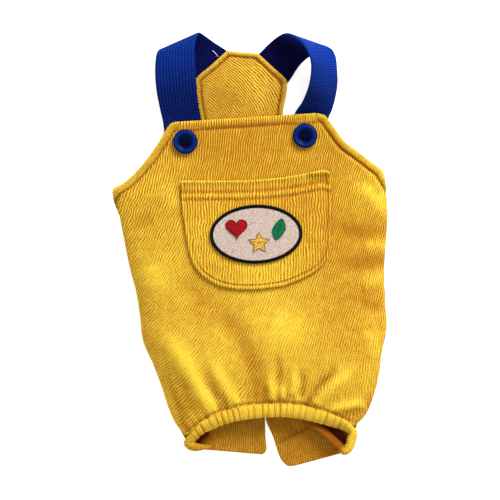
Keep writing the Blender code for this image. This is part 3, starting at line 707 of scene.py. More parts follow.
def badge_spin(x, y):
    """Floor places of points that are given in the badge's own axes."""
    centre = plan(*BADGE_PLACE)
    c, s = math.cos(BADGE_TILT), math.sin(BADGE_TILT)
    return centre[0] + c * x - s * y, centre[1] + s * x + c * y


def edge_spacing(count, length):
    """Shares from 0 to 1, with a few more close to both ends."""
    near = np.array(EDGE_STEPS) / length
    middle = np.linspace(near[-1], 1 - near[-1], count)[1:-1]
    return np.concatenate([near, middle, (1 - near)[::-1]])


def quads(*corners):
    """Faces from four tables of point numbers, one table for each corner."""
    return np.stack([corner.ravel() for corner in corners], axis=1)


def grid_faces(rows, columns):
    """Quads of a grid of rows by columns points whose rows run downwards, facing up."""
    index = np.arange(rows * columns).reshape(rows, columns)
    return quads(index[:-1, :-1], index[1:, :-1], index[1:, 1:], index[:-1, 1:])


def ring_faces(rings, sides, start=0):
    """Point numbers of closed rings, and the quads that join each ring to the next."""
    index = start + np.arange(rings * sides).reshape(rings, sides)
    after = np.roll(index, -1, axis=1)
    return index, quads(index[:-1], after[:-1], after[1:], index[1:])


def capped(index, faces):
    """The faces that join some rings, with both ends closed."""
    return [*faces.tolist(), index[0][::-1].tolist(), index[-1].tolist()]


def face_normals(points, faces):
    """Normal of each quad, twice its area long."""
    return np.cross(points[faces[:, 2]] - points[faces[:, 0]], points[faces[:, 3]] - points[faces[:, 1]])


def vertex_normals(points, faces):
    flat = face_normals(points, faces)
    normals = np.zeros(points.shape)
    for k in range(faces.shape[1]):
        np.add.at(normals, faces[:, k], flat)
    return unit(normals)


def border_points(faces, count):
    """True for each point on the sheet's border."""
    edges = np.concatenate([faces[:, [k, (k + 1) % 4]] for k in range(4)])
    edges.sort(axis=1)
    found, uses = np.unique(edges, axis=0, return_counts=True)
    border = np.zeros(count, bool)
    border[found[uses == 1].ravel()] = True
    return border


def nearest_distance(points, targets):
    tree = KDTree(len(targets))
    for k, target in enumerate(targets):
        tree.insert(target, k)
    tree.balance()
    return np.array([tree.find(point)[2] for point in points])


def close_sheet(face, faces, thickness):
    """Points, faces and inner points of a sheet with a rounded edge, whose upper face is given."""
    normals = vertex_normals(face, faces)
    border = border_points(faces, len(face))
    middle = face - normals * thickness / 2
    share = np.clip(nearest_distance(middle, middle[border]) / (thickness / 2), 0, 1)
    half = (thickness / 2 * np.sqrt(1 - (1 - share) ** 2))[:, None]
    lower_index = np.arange(len(face))
    lower_index[~border] = len(face) + np.arange((~border).sum())
    points = np.concatenate([middle + normals * half, (middle - normals * half)[~border]])
    both = np.concatenate([faces, lower_index[faces][:, ::-1]])
    return points, both.tolist(), ~border


def link(name, data):
    """A new object in the scene."""
    made = bpy.data.objects.new(name, data)
    bpy.context.collection.objects.link(made)
    return made


def add_piece(name, points, faces, slot, look, replaced=(), sharp=None):
    """Makes a smooth piece that rides on the garment and stands for the named solids."""
    mesh = bpy.data.meshes.new(name)
    mesh.from_pydata((points + ORIGIN).tolist(), [], faces)
    mesh.update()
    mesh.shade_smooth()
    if sharp:
        mesh.set_sharp_from_angle(angle=math.radians(sharp))
    mesh.materials.append(look)
    piece = link(name, mesh)
    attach(piece, "root")
    if replaced:
        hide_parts(*replaced)
    return piece


def set_knit(piece, wale, course, painted_shading, inner=None):
    """Stores how far each point lies across and along the ribs, and the light and shade painted at it.

    A sheet's under side, the inner points, takes the values of its upper side.
    """
    values = np.stack([wale, course, painted_shading], axis=1).astype(np.float32)
    if inner is not None:
        values = np.concatenate([values, values[inner]])
    attribute = piece.data.attributes.new("knit", "FLOAT_VECTOR", "POINT")
    attribute.data.foreach_set("vector", values.ravel())


def poly_terms(x, y):
    return np.stack([x, y, x * x, x * y, y * y, x**3, x * x * y, x * y * y, y**3], axis=1)


def poly_slopes(x, y):
    zero = np.zeros(x.shape)
    one = np.ones(x.shape)
    by_x = np.stack([one, zero, 2 * x, y, zero, 3 * x * x, 2 * x * y, y * y, zero], axis=1)
    by_y = np.stack([zero, one, zero, x, 2 * y, zero, x * x, 2 * x * y, 3 * y * y], axis=1)
    return by_x, by_y


def knit_field(leans, x, y):
    """Distances across and along the ribs, from a smooth field that has the given leans."""
    scale = BODY_LENGTH / 2
    table = np.array(leans)
    places = trail(table[:, :2]) / scale
    lean = np.radians(table[:, 2])
    closeness = table[:, 3]
    none = np.zeros(len(table))
    by_x, by_y = poly_slopes(places[:, 0], places[:, 1])
    along = by_x * np.sin(lean)[:, None] + by_y * np.cos(lean)[:, None]
    across = by_x * np.cos(lean)[:, None] - by_y * np.sin(lean)[:, None]
    both = np.concatenate([across, along])
    terms = poly_terms(x / scale, y / scale) * scale
    wale_weights = np.linalg.lstsq(both, np.concatenate([closeness, none]), rcond=None)[0]
    course_weights = np.linalg.lstsq(both, np.concatenate([none, closeness]), rcond=None)[0]
    return terms @ wale_weights, terms @ course_weights


def sample_path(rows, spacing):
    """Rows at an even spacing along a smooth path whose first three columns are x, y, z."""
    fine = smooth_rows(rows, np.linspace(0, len(rows) - 1, 16 * (len(rows) - 1) + 1))
    lengths = walked(fine[:, :3])
    even = np.linspace(0, lengths[-1], max(round(lengths[-1] / spacing), 2) + 1)
    return np.stack([np.interp(even, lengths, fine[:, k]) for k in range(fine.shape[1])], axis=1), even


class Look:
    """A material's nodes, written as short calls."""

    def __init__(self, name, roughness):
        self.material = bpy.data.materials.new(name)
        self.material.use_nodes = True
        self.tree = self.material.node_tree
        self.shader = self.tree.nodes["Principled BSDF"]
        self.shader.inputs["Roughness"].default_value = roughness

    def node(self, kind, **settings):
        made = self.tree.nodes.new(kind)
        for key, value in settings.items():
            setattr(made, key, value)
        return made

    def feed(self, socket, value):
        if isinstance(value, bpy.types.NodeSocket):
            self.tree.links.new(value, socket)
        else:
            socket.default_value = value

    def calc(self, operation, *values):
        made = self.node("ShaderNodeMath", operation=operation)
        for socket, value in zip(made.inputs, values):
            self.feed(socket, value)
        return made.outputs[0]

    def scaled(self, value, factor, offset=0.0):
        return self.calc("MULTIPLY_ADD", value, factor, offset)

    def wave(self, turns):
        """A wave between 0 and 1 with one crest for each whole turn."""
        return self.scaled(self.calc("COSINE", self.scaled(turns, 2 * math.pi)), 0.5, 0.5)

    def coordinates(self):
        return self.node("ShaderNodeTexCoord").outputs["Object"]

    def split(self, vector):
        made = self.node("ShaderNodeSeparateXYZ")
        self.feed(made.inputs[0], vector)
        return made.outputs

    def knit(self):
        return self.split(self.node("ShaderNodeAttribute", attribute_name="knit").outputs["Vector"])

    def noise(self, size, detail=2.0, place=None):
        """Noise between about 0.3 and 0.7 whose features have that size, in metres on the object."""
        made = self.node("ShaderNodeTexNoise")
        self.feed(made.inputs["Vector"], self.coordinates() if place is None else place)
        made.inputs["Scale"].default_value = 1 / size
        made.inputs["Detail"].default_value = detail
        return made.outputs["Fac"]

    def stretched_noise(self, across, along):
        place = self.node("ShaderNodeCombineXYZ")
        self.feed(place.inputs[0], across)
        self.feed(place.inputs[1], along)
        return self.noise(1.0, place=place.outputs[0])

    def limited(self, value):
        """The value, kept between 0 and 1."""
        made = self.node("ShaderNodeClamp")
        self.feed(made.inputs[0], value)
        return made.outputs[0]

    def mix(self, share, dark, light):
        made = self.node("ShaderNodeMix", data_type="RGBA")
        self.feed(made.inputs["Factor"], share)
        self.feed(made.inputs[6], dark if isinstance(dark, bpy.types.NodeSocket) else (*dark, 1))
        self.feed(made.inputs[7], light if isinstance(light, bpy.types.NodeSocket) else (*light, 1))
        return made.outputs[2]

    def colour(self, value):
        self.feed(self.shader.inputs["Base Color"], value)

    def bump(self, height, depth):
        made = self.node("ShaderNodeBump")
        made.inputs["Distance"].default_value = depth
        made.inputs["Strength"].default_value = 1.0
        self.feed(made.inputs["Height"], height)
        self.feed(self.shader.inputs["Normal"], made.outputs[0])

    def set(self, **values):
        for key, value in values.items():
            self.shader.inputs[key.replace("_", " ")].default_value = value


def knit_look(name, dark, light, contrast, relief):
    """Brushed jersey: soft ribs broken into slanted strokes, clearest at the bib, with painted light and
    shade from the knit attribute, down to a painted near-black shade.
    """
    look = Look(name, 0.95)
    wale, course, painted_shading = look.knit()
    ribs = look.calc("ADD", look.scaled(wale, 1 / WALE_PITCH), look.scaled(look.noise(0.010), 2.4))
    loops = look.calc("ADD", look.scaled(course, 1 / COURSE_PITCH), look.scaled(ribs, 0.5))
    strokes = look.wave(look.calc("ADD", loops, look.scaled(look.noise(0.0025), 1.5)))
    broken = look.stretched_noise(look.scaled(ribs, 0.9), look.scaled(course, 0.45 / COURSE_PITCH))
    strength = look.limited(look.scaled(broken, 3.4, -0.95))
    marked = look.limited(look.scaled(look.split(look.coordinates())[1], 9.0, 0.65))
    rib = look.calc("MULTIPLY", look.scaled(look.wave(ribs), 1.0, -0.5), strength)
    rib = look.calc("MULTIPLY", rib, look.scaled(marked, 0.55, 0.72))
    yarn = look.calc("ADD", rib, look.scaled(strokes, 0.15, -0.075))
    fuzz = look.scaled(look.noise(0.0006, 3.0), 1.0, -0.5)
    mottle = look.scaled(look.noise(0.0045, 3.0), 0.5, -0.25)
    share = look.calc("ADD", look.scaled(yarn, contrast, 0.45), look.scaled(fuzz, 0.7))
    share = look.calc("ADD", share, mottle)
    share = look.limited(look.calc("ADD", share, look.scaled(painted_shading, 0.42)))
    # Painted deep shade: where the painted shading is darkest the colour goes nearly black
    deep = look.limited(look.scaled(painted_shading, -1.0, -1.25))
    look.colour(look.mix(deep, look.mix(share, dark, light), (0.110, 0.016, 0.004)))
    look.bump(look.calc("ADD", yarn, look.scaled(fuzz, 0.6)), relief)
    look.set(Specular_IOR_Level=0.1)
    return look.material


def webbing_look():
    """Woven webbing: yarns in a zigzag, each a light dot between dark gaps."""
    look = Look("woven_webbing", 0.70)
    wale, course, light = look.knit()
    turns = look.scaled(wale, 1 / WEAVE_ACROSS)
    rows = look.calc("ADD", look.scaled(course, 1 / WEAVE_ALONG), look.scaled(look.noise(0.002), 0.8))
    zigzag = look.calc("PINGPONG", turns, 1.0)
    picks = look.wave(look.calc("ADD", rows, look.scaled(zigzag, 0.5)))
    ends = look.wave(turns)
    yarn = look.calc("MULTIPLY", picks, ends)
    fibre = look.noise(0.0005, 3.0)
    # The attribute's third value is painted light and shade along the strap: lighter at the loop's lit turn,
    # darker under the fold
    yarn_share = look.calc("MULTIPLY", yarn, look.scaled(light, 0.6, 0.46))
    share = look.calc("ADD", yarn_share, look.scaled(fibre, 0.5, -0.19))
    share = look.calc("ADD", share, look.scaled(light, 0.5))
    look.colour(look.mix(share, (0.0018, 0.0010, 0.034), (0.004, 0.061, 0.49)))
    look.bump(look.calc("ADD", yarn, look.scaled(fibre, 0.3)), 0.00022)
    look.set(Specular_IOR_Level=0.03)
    return look.material


def thread_look(name, dark, light, roughness=0.55, specular=0.3):
    look = Look(name, roughness)
    look.colour(look.mix(look.noise(0.0008, 3.0), dark, light))
    look.bump(look.noise(0.0003), 0.00005)
    look.set(Specular_IOR_Level=specular)
    return look.material


def twill_look():
    look = Look("badge_twill", 0.85)
    across, along, _ = look.split(look.coordinates())
    diagonal = look.calc("ADD", across, look.scaled(along, 1.6))
    lines = look.wave(look.scaled(diagonal, 1 / TWILL_PITCH))
    fibre = look.noise(0.0007, 3.0)
    share = look.calc("ADD", look.scaled(lines, 0.4), look.scaled(fibre, 2.8, -1.1))
    look.colour(look.mix(share, (0.36, 0.26, 0.22), (0.74, 0.62, 0.56)))
    look.bump(look.calc("ADD", lines, fibre), 0.00018)
    return look.material


def button_look():
    look = Look("button_resin", 0.24)
    _, _, rim = look.knit()
    # Painted light on the raised ring, and painted shade in the dish and at the outer edge, from the rim
    # value
    share = look.calc("ADD", look.scaled(look.noise(0.004), 0.4, -0.1), look.scaled(rim, 0.75))
    look.colour(look.mix(share, (0.0001, 0.0005, 0.009), (0.0004, 0.018, 0.175)))
    look.bump(look.noise(0.0012), 0.00002)
    look.set(Specular_IOR_Level=0.045)
    return look.material


def make_looks():
    return {
        "knit": knit_look("brushed_knit", (0.36, 0.128, 0.005), (0.84, 0.595, 0.050), 0.95, 0.00032),
        "back": knit_look("brushed_knit_back", (0.31, 0.106, 0.004), (0.80, 0.535, 0.052), 0.95, 0.00026),
        "webbing": webbing_look(),
        "seam": thread_look("seam_thread", (0.11, 0.036, 0.003), (0.24, 0.090, 0.008)),
        "hem": thread_look("hem_thread", (0.24, 0.09, 0.006), (0.46, 0.23, 0.018), 0.8, 0.08),
        "button": button_look(),
        "blue": thread_look("button_thread", (0.0003, 0.001, 0.016), (0.0008, 0.003, 0.050), 0.8, 0.03),
        "twill": twill_look(),
        "black": thread_look("border_thread", (0.002, 0.002, 0.003), (0.009, 0.009, 0.011), 0.8, 0.06),
        "red": thread_look("red_thread", (0.16, 0.001, 0.003), (0.52, 0.005, 0.012), 0.7, 0.08),
        "yellow": thread_look("yellow_thread", (0.55, 0.29, 0.02), (0.92, 0.60, 0.12), 0.7, 0.08),
        "green": thread_look("green_thread", (0.001, 0.06, 0.024), (0.004, 0.25, 0.11), 0.7, 0.08),
        "dark_red": thread_look("dark_red_thread", (0.05, 0.002, 0.003), (0.10, 0.004, 0.006)),
        "brown": thread_look("brown_thread", (0.16, 0.06, 0.008), (0.28, 0.11, 0.015)),
        "dark_green": thread_look("dark_green_thread", (0.002, 0.020, 0.010), (0.005, 0.050, 0.024)),
        "white": thread_look("white_thread", (0.72, 0.72, 0.74), (0.90, 0.90, 0.92)),
    }


def front_places(rows, columns):
    """Places of the front panel's grid, evenly spaced down its sides."""
    fine = np.linspace(0, len(FRONT_ROWS) - 1, 800)
    samples = smooth_rows(FRONT_ROWS, fine)
    down = (samples[:, 1] + samples[:, 3]) / 2 * BODY_LENGTH
    across = (samples[:, 2] - samples[:, 0]) / 2 * BODY_WIDTH
    lengths = walked(np.stack([down, across], axis=1))
    v = edge_spacing(rows, lengths[-1])
    picked = smooth_rows(FRONT_ROWS, np.interp(v * lengths[-1], lengths, fine))
    u = edge_spacing(columns, BODY_WIDTH)
    s = 0.70 * u + 0.30 * (1 - np.cos(math.pi * u)) / 2
    grid = np.stack([front_across(row, s) for row in picked])
    return np.concatenate([grid, tucked_rows(grid[-1], s)])


def tucked_rows(edge, s):
    """Rows past the front panel's lower edge, which the casing takes in."""
    tangent = headings(edge)
    away = np.stack([tangent[:, 1], -tangent[:, 0]], axis=1) * (1 - np.abs(2 * s - 1) ** 30)[:, None]
    return np.stack([edge + away * reach for reach in TUCKS])


def turned_ribs(wale, course, strip, distance, along):
    """The knit's values with those in a turned hem's strip, whose ribs stand across the edge."""
    wale = np.where(strip, STRIP_CLOSENESS * (along + 0.3 * distance), wale)
    return wale, np.where(strip, distance, course)


def make_front(looks):
    places = front_places(*FRONT_GRID)
    x, y = places[..., 0].ravel(), places[..., 1].ravel()
    face = np.stack([x, y, front_height(x, y)], axis=1)
    faces = grid_faces(*places.shape[:2])
    points, both, inner = close_sheet(face, faces, CLOTH)
    piece = add_piece("front_cloth", points, both, "knit_yellow", looks["knit"], ["front_panel"])
    wale, course = knit_field(FRONT_LEAN, x, y)
    shares = hem_shares(x, y)
    painted_shading = cloth_painted_shading(x, y) + hem_painted_shading(np.min(shares, axis=0) * ARMHOLE_HEM, ARMHOLE_HEM)
    # Painted shade under each button, seen through its holes
    for place in BUTTON_PLACES.values():
        painted_shading -= 4 * bump(away_from(place, x, y), BUTTON_DISH / 2)
    for line in HEM_LINES.values():
        distance, along = line_distance(x, y, line)
        strip = (distance < ARMHOLE_HEM) & (distance / ARMHOLE_HEM < shares[0])
        wale, course = turned_ribs(wale, course, strip, distance, along)
    set_knit(piece, wale, course, painted_shading, inner)


def back_line(position):
    """One row of the back panel: both sides and both sides of the slit, and its lift."""
    left_x, left_d, right_x, right_d, lift = smooth_rows(BACK_ROWS, np.array([position]))[0]
    hidden = soft_step(left_d, 0.19, 0.24) * (1 - soft_step(left_d, 0.80, 0.88))
    left_x += hidden * BACK_INSET / BODY_WIDTH
    right_x -= hidden * BACK_INSET / BODY_WIDTH
    if position <= SLIT_START:
        near = soft_step(position, 0, SLIT_START)
        slit = [blend((left_x + right_x) / 2, SLIT_ROWS[0][0], near), (left_d + right_d) / 2] * 2
    else:
        slit = smooth_rows(SLIT_ROWS, np.array([position - SLIT_START]))[0]
    return [plan(left_x, left_d), plan(*slit[:2]), plan(*slit[2:]), plan(right_x, right_d)], max(lift, 0)


def back_relief(x, y):
    """Hem of the tab, and the seams on a flap."""
    distance = line_distance(x, y, TAB_EDGE)[0]
    relief = 0.0006 * soft_step(distance, 0, 0.0012) * (1 - soft_step(distance, 0.0018, TAB_HEM))
    relief -= 0.0007 * bump(distance - TAB_HEM, 0.0006) + 0.0011 * beside(FLAP_SEAM, 0.0007, x, y)
    for line in FLAP_STITCHES[:2]:
        relief -= 0.0005 * beside(line, 0.0006, x, y)
    return relief


def back_painted_shading(x, y):
    """Painted light and shade on the back: the tab's hem and patches, painted shade over the flaps, darker
    towards the right, in the flap's seam, and near black deep inside the hem's corners.
    """
    flap_shade = 0.62 + 0.6 * x / BODY_WIDTH
    painted_shading = hem_painted_shading(line_distance(x, y, TAB_EDGE)[0], TAB_HEM) + patches(BACK_PATCHES, x, y)
    painted_shading -= 0.1 + flap_shade * soft_step(-y / BODY_LENGTH, 0.84, 0.88) + 0.7 * beside(FLAP_SEAM, 0.0008, x, y)
    for line in HOLLOWS:
        painted_shading -= 2.0 * beside(line, 0.0042, x, y)
    return painted_shading


def tab_edge():
    left = side_line(BACK_ROWS, (0, 1), 0, BACK_ARMHOLE_END)
    right = side_line(BACK_ROWS, (2, 3), 0, BACK_ARMHOLE_END)
    return np.concatenate([left[::-1], right])


TAB_EDGE = tab_edge()


def back_height(x, y):
    return BACK_TOP + back_relief(x, y)


def tab_height(x, y):
    """Height of the tab's face, which lifts over the straps' roots."""
    table = np.array(BACK_ROWS)
    lift = np.interp(-y / BODY_LENGTH, (table[:, 1] + table[:, 3]) / 2, table[:, 4])
    return back_height(x, y) + lift * TAB_LIFT


def make_back(looks):
    """The back sheet, whose last rows part at the slit into two flaps."""
    last = len(BACK_ROWS) - 1
    shares = edge_spacing(BACK_COLUMNS, 0.06)
    columns = len(shares)
    places, lifts, index = [], [], []
    for position in np.unique(np.concatenate([np.linspace(*span) for span in BACK_SPANS])):
        (left, slit_left, slit_right, right), lift = back_line(position)
        joined = 1 if position <= SLIT_START else 0
        start = len(places)
        second = blend(slit_right, right, shares[:, None])
        corner = soft_step(position, last - 1, last) * (1 - soft_step(shares, 0, 0.16)) ** 2
        second[:, 1] += FLAP_ROUNDING * corner
        places += [*blend(left, slit_left, shares[:, None]), *second[joined:]]
        lifts += [lift] * (len(places) - start)
        index.append((np.arange(columns) + start, np.arange(columns) + len(places) - columns))
    upper, lower = np.array(index[:-1]), np.array(index[1:])
    faces = quads(upper[..., :-1], lower[..., :-1], lower[..., 1:], upper[..., 1:])
    x, y = np.transpose(places)
    face = np.stack([x, y, BACK_TOP + np.array(lifts) * TAB_LIFT + back_relief(x, y)], axis=1)
    points, both, inner = close_sheet(face, faces, CLOTH)
    points[:, 2] = np.maximum(points[:, 2], 0)
    piece = add_piece("back_cloth", points, both, "knit_yellow_back", looks["back"], ["back_panel"])
    distance, along = line_distance(x, y, TAB_EDGE)
    ribs = turned_ribs(*knit_field(BACK_LEAN, x, y), distance < TAB_HEM, distance, along)
    set_knit(piece, *ribs, back_painted_shading(x, y), inner)


def half_extents(upright):
    """Half of the casing's reach, level and upwards, where it stands that far on edge."""
    angle = upright * math.pi / 2
    a, b = HEM_WIDTH / 2, HEM_THICKNESS / 2
    flat = math.hypot(a * math.cos(angle), b * math.sin(angle))
    tall = math.hypot(a * math.sin(angle), b * math.cos(angle))
    return flat, tall


def turn_stations(across, down, turn):
    """Rows of the casing's path past the front panel's corner at that place."""
    stations = []
    for aside, along, upright in turn:
        place = plan(across, down) + np.array([aside, along]) * HEM_WIDTH
        stations.append((*place, BACK_TOP + GAP + half_extents(upright)[1], upright))
    return stations


def hem_stations():
    """Rows of the casing's path from the left end to the end inside the right side.

    Their columns are x, y, z and upright.
    """
    stations = turn_stations(*FRONT_ROWS[-1][:2], HEM_LEFT_TURN)
    for s in HEM_FRONT:
        near = front_across(FRONT_ROWS[-1], np.array([max(s - 0.01, 0), s, min(s + 0.01, 1)]))
        tangent = (near[2] - near[0]) / np.linalg.norm(near[2] - near[0])
        upright = 0.85 * abs(2 * s - 1) ** 3
        flat, tall = half_extents(upright)
        place = near[1] + np.array([tangent[1], -tangent[0]]) * (flat + 2 * GAP)
        height = blend(BACK_TOP + GAP + tall, HEM_RISE, float(crown_profile(s)))
        stations.append((*place, height, upright))
    return stations + turn_stations(*FRONT_ROWS[-1][2:4], HEM_RIGHT_TURN)


def gather_shape(distances, random):
    """Depth of the creases between gathers: 0 on a gather, and up to 1 in a crease."""
    crease = np.zeros(len(distances))
    place = 0.0
    while place < distances[-1]:
        depth = random.uniform(0.40, 1.0)
        width = random.uniform(0.0004, 0.0008)
        crease = np.maximum(crease, depth * bump(distances - place, width))
        place += GATHER_PITCH * random.uniform(0.70, 1.25)
    return crease


def casing_axes(path, upright):
    """Unit directions along the casing's width and its thickness at each of its stations."""
    tangent = headings(path)
    level = unit(np.stack([tangent[:, 1], -tangent[:, 0], np.zeros(len(path))], axis=1))
    angle = upright[:, None] * math.pi / 2
    wide = level * np.cos(angle) - np.array([0, 0, 1]) * np.sin(angle)
    return wide, unit(np.cross(wide, tangent))


def make_casing(looks):
    """The gathered casing: an oval swept along the hem and pinched between its gathers."""
    rows, distances = sample_path(hem_stations(), CASING_STEP)
    to_end = distances[-1] - distances
    path = rows[:, :3]
    wide, thin = casing_axes(path, rows[:, 3])
    inner_band = 1 - soft_step(to_end, INNER_BAND, INNER_BAND + 0.006)
    gathered = soft_step(distances, 0.017, 0.027) * soft_step(to_end, 0.046, 0.060)
    crease = gather_shape(distances, np.random.default_rng(11))
    crease *= (0.15 + 0.85 * gathered) * (1 - inner_band)
    turns = circle(CASING_SIDES)
    ripple = 0.04 * np.sin(2 * math.pi * distances / 0.0016)
    pinch = 1 + (ripple - 0.55 * crease)[:, None] * (0.6 - 0.4 * np.cos(turns))
    taper = blend(0.20, 1, soft_step(distances, -0.002, 0.0130))
    a = HEM_WIDTH / 2 * taper * (1 - 0.12 * crease)
    hooks = bump(distances - 0.014, 0.009) + 0.8 * bump(to_end - 0.037, 0.009)
    b = HEM_THICKNESS / 2 * taper * (1 + 0.28 * hooks)
    aside = a[:, None] * np.cos(turns)
    through = b[:, None] * pinch * np.sin(turns)
    points = path[:, None] + wide[:, None] * aside[..., None] + thin[:, None] * through[..., None]
    faces = capped(*ring_faces(len(rows), CASING_SIDES))
    piece = add_piece(
        "hem_casing", points.reshape(-1, 3), faces, "knit_yellow", looks["knit"], ["elastic_hem"],
    )
    fix = bmesh.new()
    fix.from_mesh(piece.data)
    bmesh.ops.recalc_face_normals(fix, faces=fix.faces)
    fix.to_mesh(piece.data)
    fix.free()
    # Painted light on the gathers, and painted shade in the creases, over the inner band and at the left end
    painted_shading = 0.60 - 1.5 * crease - 2.3 * inner_band - 1.2 * (1 - soft_step(distances, 0.004, 0.028))
    wale = np.repeat(distances * CASING_CLOSENESS, CASING_SIDES)
    course = np.tile(turns * HEM_WIDTH / 3, len(rows))
    set_knit(piece, wale, course, np.repeat(painted_shading, CASING_SIDES))


def make_pocket(looks):
    v = edge_spacing(POCKET_GRID[0], BODY_LENGTH * 0.36)
    u = edge_spacing(POCKET_GRID[1], BODY_WIDTH * 0.54)
    table = smooth_rows(POCKET_ROWS, v * (len(POCKET_ROWS) - 1))
    places = blend(trail(table[:, :2])[:, None], trail(table[:, 2:])[:, None], u[:, None])
    places[..., 1] -= pocket_sag(u) * (1 - v[:, None]) ** 5
    places[..., 1] -= POCKET_BULGE * 4 * u * (1 - u) * v[:, None] ** 8
    x, y = places[..., 0].ravel(), places[..., 1].ravel()
    face = np.stack([x, y, pocket_height(x, y)], axis=1)
    faces = grid_faces(len(v), len(u))
    points, both, inner = close_sheet(face, faces, POCKET_CLOTH)
    piece = add_piece("pocket_cloth", points, both, "knit_yellow", looks["knit"], ["pocket"])
    set_knit(piece, x, y, pocket_painted_shading(x, y), inner)


def strap_grid(side, u, positions):
    """Places on a strap's middle sheet, at shares of its width and positions in its table."""
    rows = smooth_rows(STRAP_ROWS[side], positions)
    way = np.clip(rows[:, 0], 0, 1)[:, None]
    level = blend(STRAP_ROOT_LEVEL, STRAP_END_LEVEL, way)
    base = np.concatenate([blend(plan(*ROOT_PLACES[side]), plan(*BUTTON_PLACES[side]), way), level], axis=1)
    rows[:, [3, 6]] = np.maximum(rows[:, [3, 6]], 0)
    inner = base + rows[:, 1:4] * WEBBING_WIDTH
    outer = base + rows[:, 4:7] * WEBBING_WIDTH
    return blend(outer[:, None], inner[:, None], u[:, None])


def make_strap(side, looks):
    """A strap of woven webbing, bent and rolled as its table says."""
    u = edge_spacing(STRAP_COLUMNS, WEBBING_WIDTH)
    fine = np.linspace(0, len(STRAP_ROWS[side]) - 1, 600)
    lengths = walked(strap_grid(side, np.array([0.5]), fine)[:, 0])
    length = lengths[-1]
    v = edge_spacing(round(length / STRAP_STEP), length)
    points = strap_grid(side, u, np.interp(v * length, lengths, fine)).reshape(-1, 3)
    faces = grid_faces(len(v), len(u))
    face = points + vertex_normals(points, faces) * WEBBING / 2
    closed, both, inner = close_sheet(face, faces, WEBBING)
    piece = add_piece("webbing_" + side, closed, both, "webbing_blue", looks["webbing"], ["strap_" + side])
    # Painted light and shade along the strap
    light = np.interp(v, *np.transpose(STRAP_LIGHT[side]))
    across = np.tile(u * WEBBING_WIDTH, len(v))
    set_knit(piece, across, np.repeat(v * length, len(u)), np.repeat(light, len(u)), inner)


def button_seat(side):
    centre = plan(*BUTTON_PLACES[side])
    return np.array([*centre, open_height(*centre[:, None])[0] + GAP])


def turned(profile, segments):
    """Points and faces of a solid turned about Z, from (radius, height) pairs off the axis."""
    turns = circle(segments)
    radius, height = profile.T[:, :, None]
    places = np.broadcast_arrays(radius * np.cos(turns), radius * np.sin(turns), height)
    return np.stack(places, axis=2).reshape(-1, 3), capped(*ring_faces(len(profile), segments))


def cut_holes(piece):
    """Cuts the four thread holes through a button at the scene's middle, and returns its mesh."""
    half = BUTTON_HOLE_SPACING / 2
    radius = BUTTON_HOLE / 2
    cutters = []
    for x, y in ((-half, -half), (-half, half), (half, -half), (half, half)):
        hole = bmesh.new()
        bmesh.ops.create_cone(
            hole, cap_ends=True, segments=HOLE_SEGMENTS, radius1=radius, radius2=radius,
            depth=4 * BUTTON_THICKNESS,
        )
        bmesh.ops.translate(hole, verts=hole.verts, vec=(x, y, 0))
        data = bpy.data.meshes.new("hole")
        hole.to_mesh(data)
        hole.free()
        cutters.append(link("hole", data))
        piece.modifiers.new("hole", "BOOLEAN").object = cutters[-1]
    bpy.context.view_layer.update()
    shown = piece.evaluated_get(bpy.context.evaluated_depsgraph_get())
    finished = bpy.data.meshes.new_from_object(shown)
    piece.modifiers.clear()
    for cutter in cutters:
        bpy.data.objects.remove(cutter, do_unlink=True)
    return finished


def make_button(side, looks):
    """A glossy four-hole button with a rounded rim and a dished face."""
    r = BUTTON_DIAMETER / 2
    t = BUTTON_THICKNESS
    dish = BUTTON_DISH / 2
    knots = (
        (0.70 * r, 0), (0.88 * r, 0.03 * t), (0.97 * r, 0.25 * t), (r, 0.48 * t), (0.97 * r, 0.73 * t),
        (0.90 * r, 0.92 * t), (0.80 * r, t), (0.70 * r, 0.94 * t), (0.62 * r, 0.80 * t),
        (1.03 * dish, 0.68 * t), (0.90 * dish, 0.62 * t), (0.72 * dish, 0.60 * t), (0.40 * dish, BUTTON_WEB),
    )
    profile = smooth_rows(knots, np.linspace(0, len(knots) - 1, 5 * (len(knots) - 1) + 1))
    points, faces = turned(profile, BUTTON_SEGMENTS)
    # It is cut at the scene's middle and then moved to its seat
    name = "button_cap_" + side
    piece = add_piece(name, points - ORIGIN, faces, "button_blue", looks["button"], ["button_" + side])
    piece.data = cut_holes(piece)
    places = np.array([vertex.co for vertex in piece.data.vertices])
    piece.data.transform(Matrix.Translation(Vector(button_seat(side) + ORIGIN)))
    piece.data.shade_smooth()
    piece.data.set_sharp_from_angle(angle=math.radians(50))
    piece.data.materials.clear()
    piece.data.materials.append(looks["button"])
    radius = np.hypot(places[:, 0], places[:, 1])
    # Painted highlight on the ring, painted shade in the dish and along the outer edge
    rim = soft_step(radius, 0.98 * dish, 1.25 * dish) * (1 - 0.8 * soft_step(radius, 0.84 * r, 0.98 * r))
    set_knit(piece, radius, places[:, 2], rim)


def tubes(lines, thread, sides):
    """Points and faces of round threads along several lines, each tapered to a rounded end."""
    turns = circle(sides)[:, None]
    all_points, all_faces = [], []
    start = 0
    for line in lines:
        tangent = headings(line)
        side = np.cross(tangent, np.array([0, 0, 1.0]))
        side[np.linalg.norm(side, axis=1) < 1e-3] = (1, 0, 0)
        side = unit(side)
        up = np.cross(side, tangent)
        radius = np.full((len(line), 1, 1), thread / 2)
        radius[[0, -1]] *= 0.45
        ring = side[:, None] * np.cos(turns) + up[:, None] * np.sin(turns)
        all_points.append((line[:, None] + ring * radius).reshape(-1, 3))
        index, faces = ring_faces(len(line), sides, start)
        all_faces += faces[:, [0, 3, 2, 1]].tolist() + [index[0].tolist(), index[-1][::-1].tolist()]
        start += index.size
    return np.concatenate(all_points), all_faces


def add_threads(name, lines, thread, slot, look, replaced=(), sides=8):
    """Adds threads of one thickness along several lines, all as one piece."""
    add_piece(name, *tubes(lines, thread, sides), slot, look, replaced)


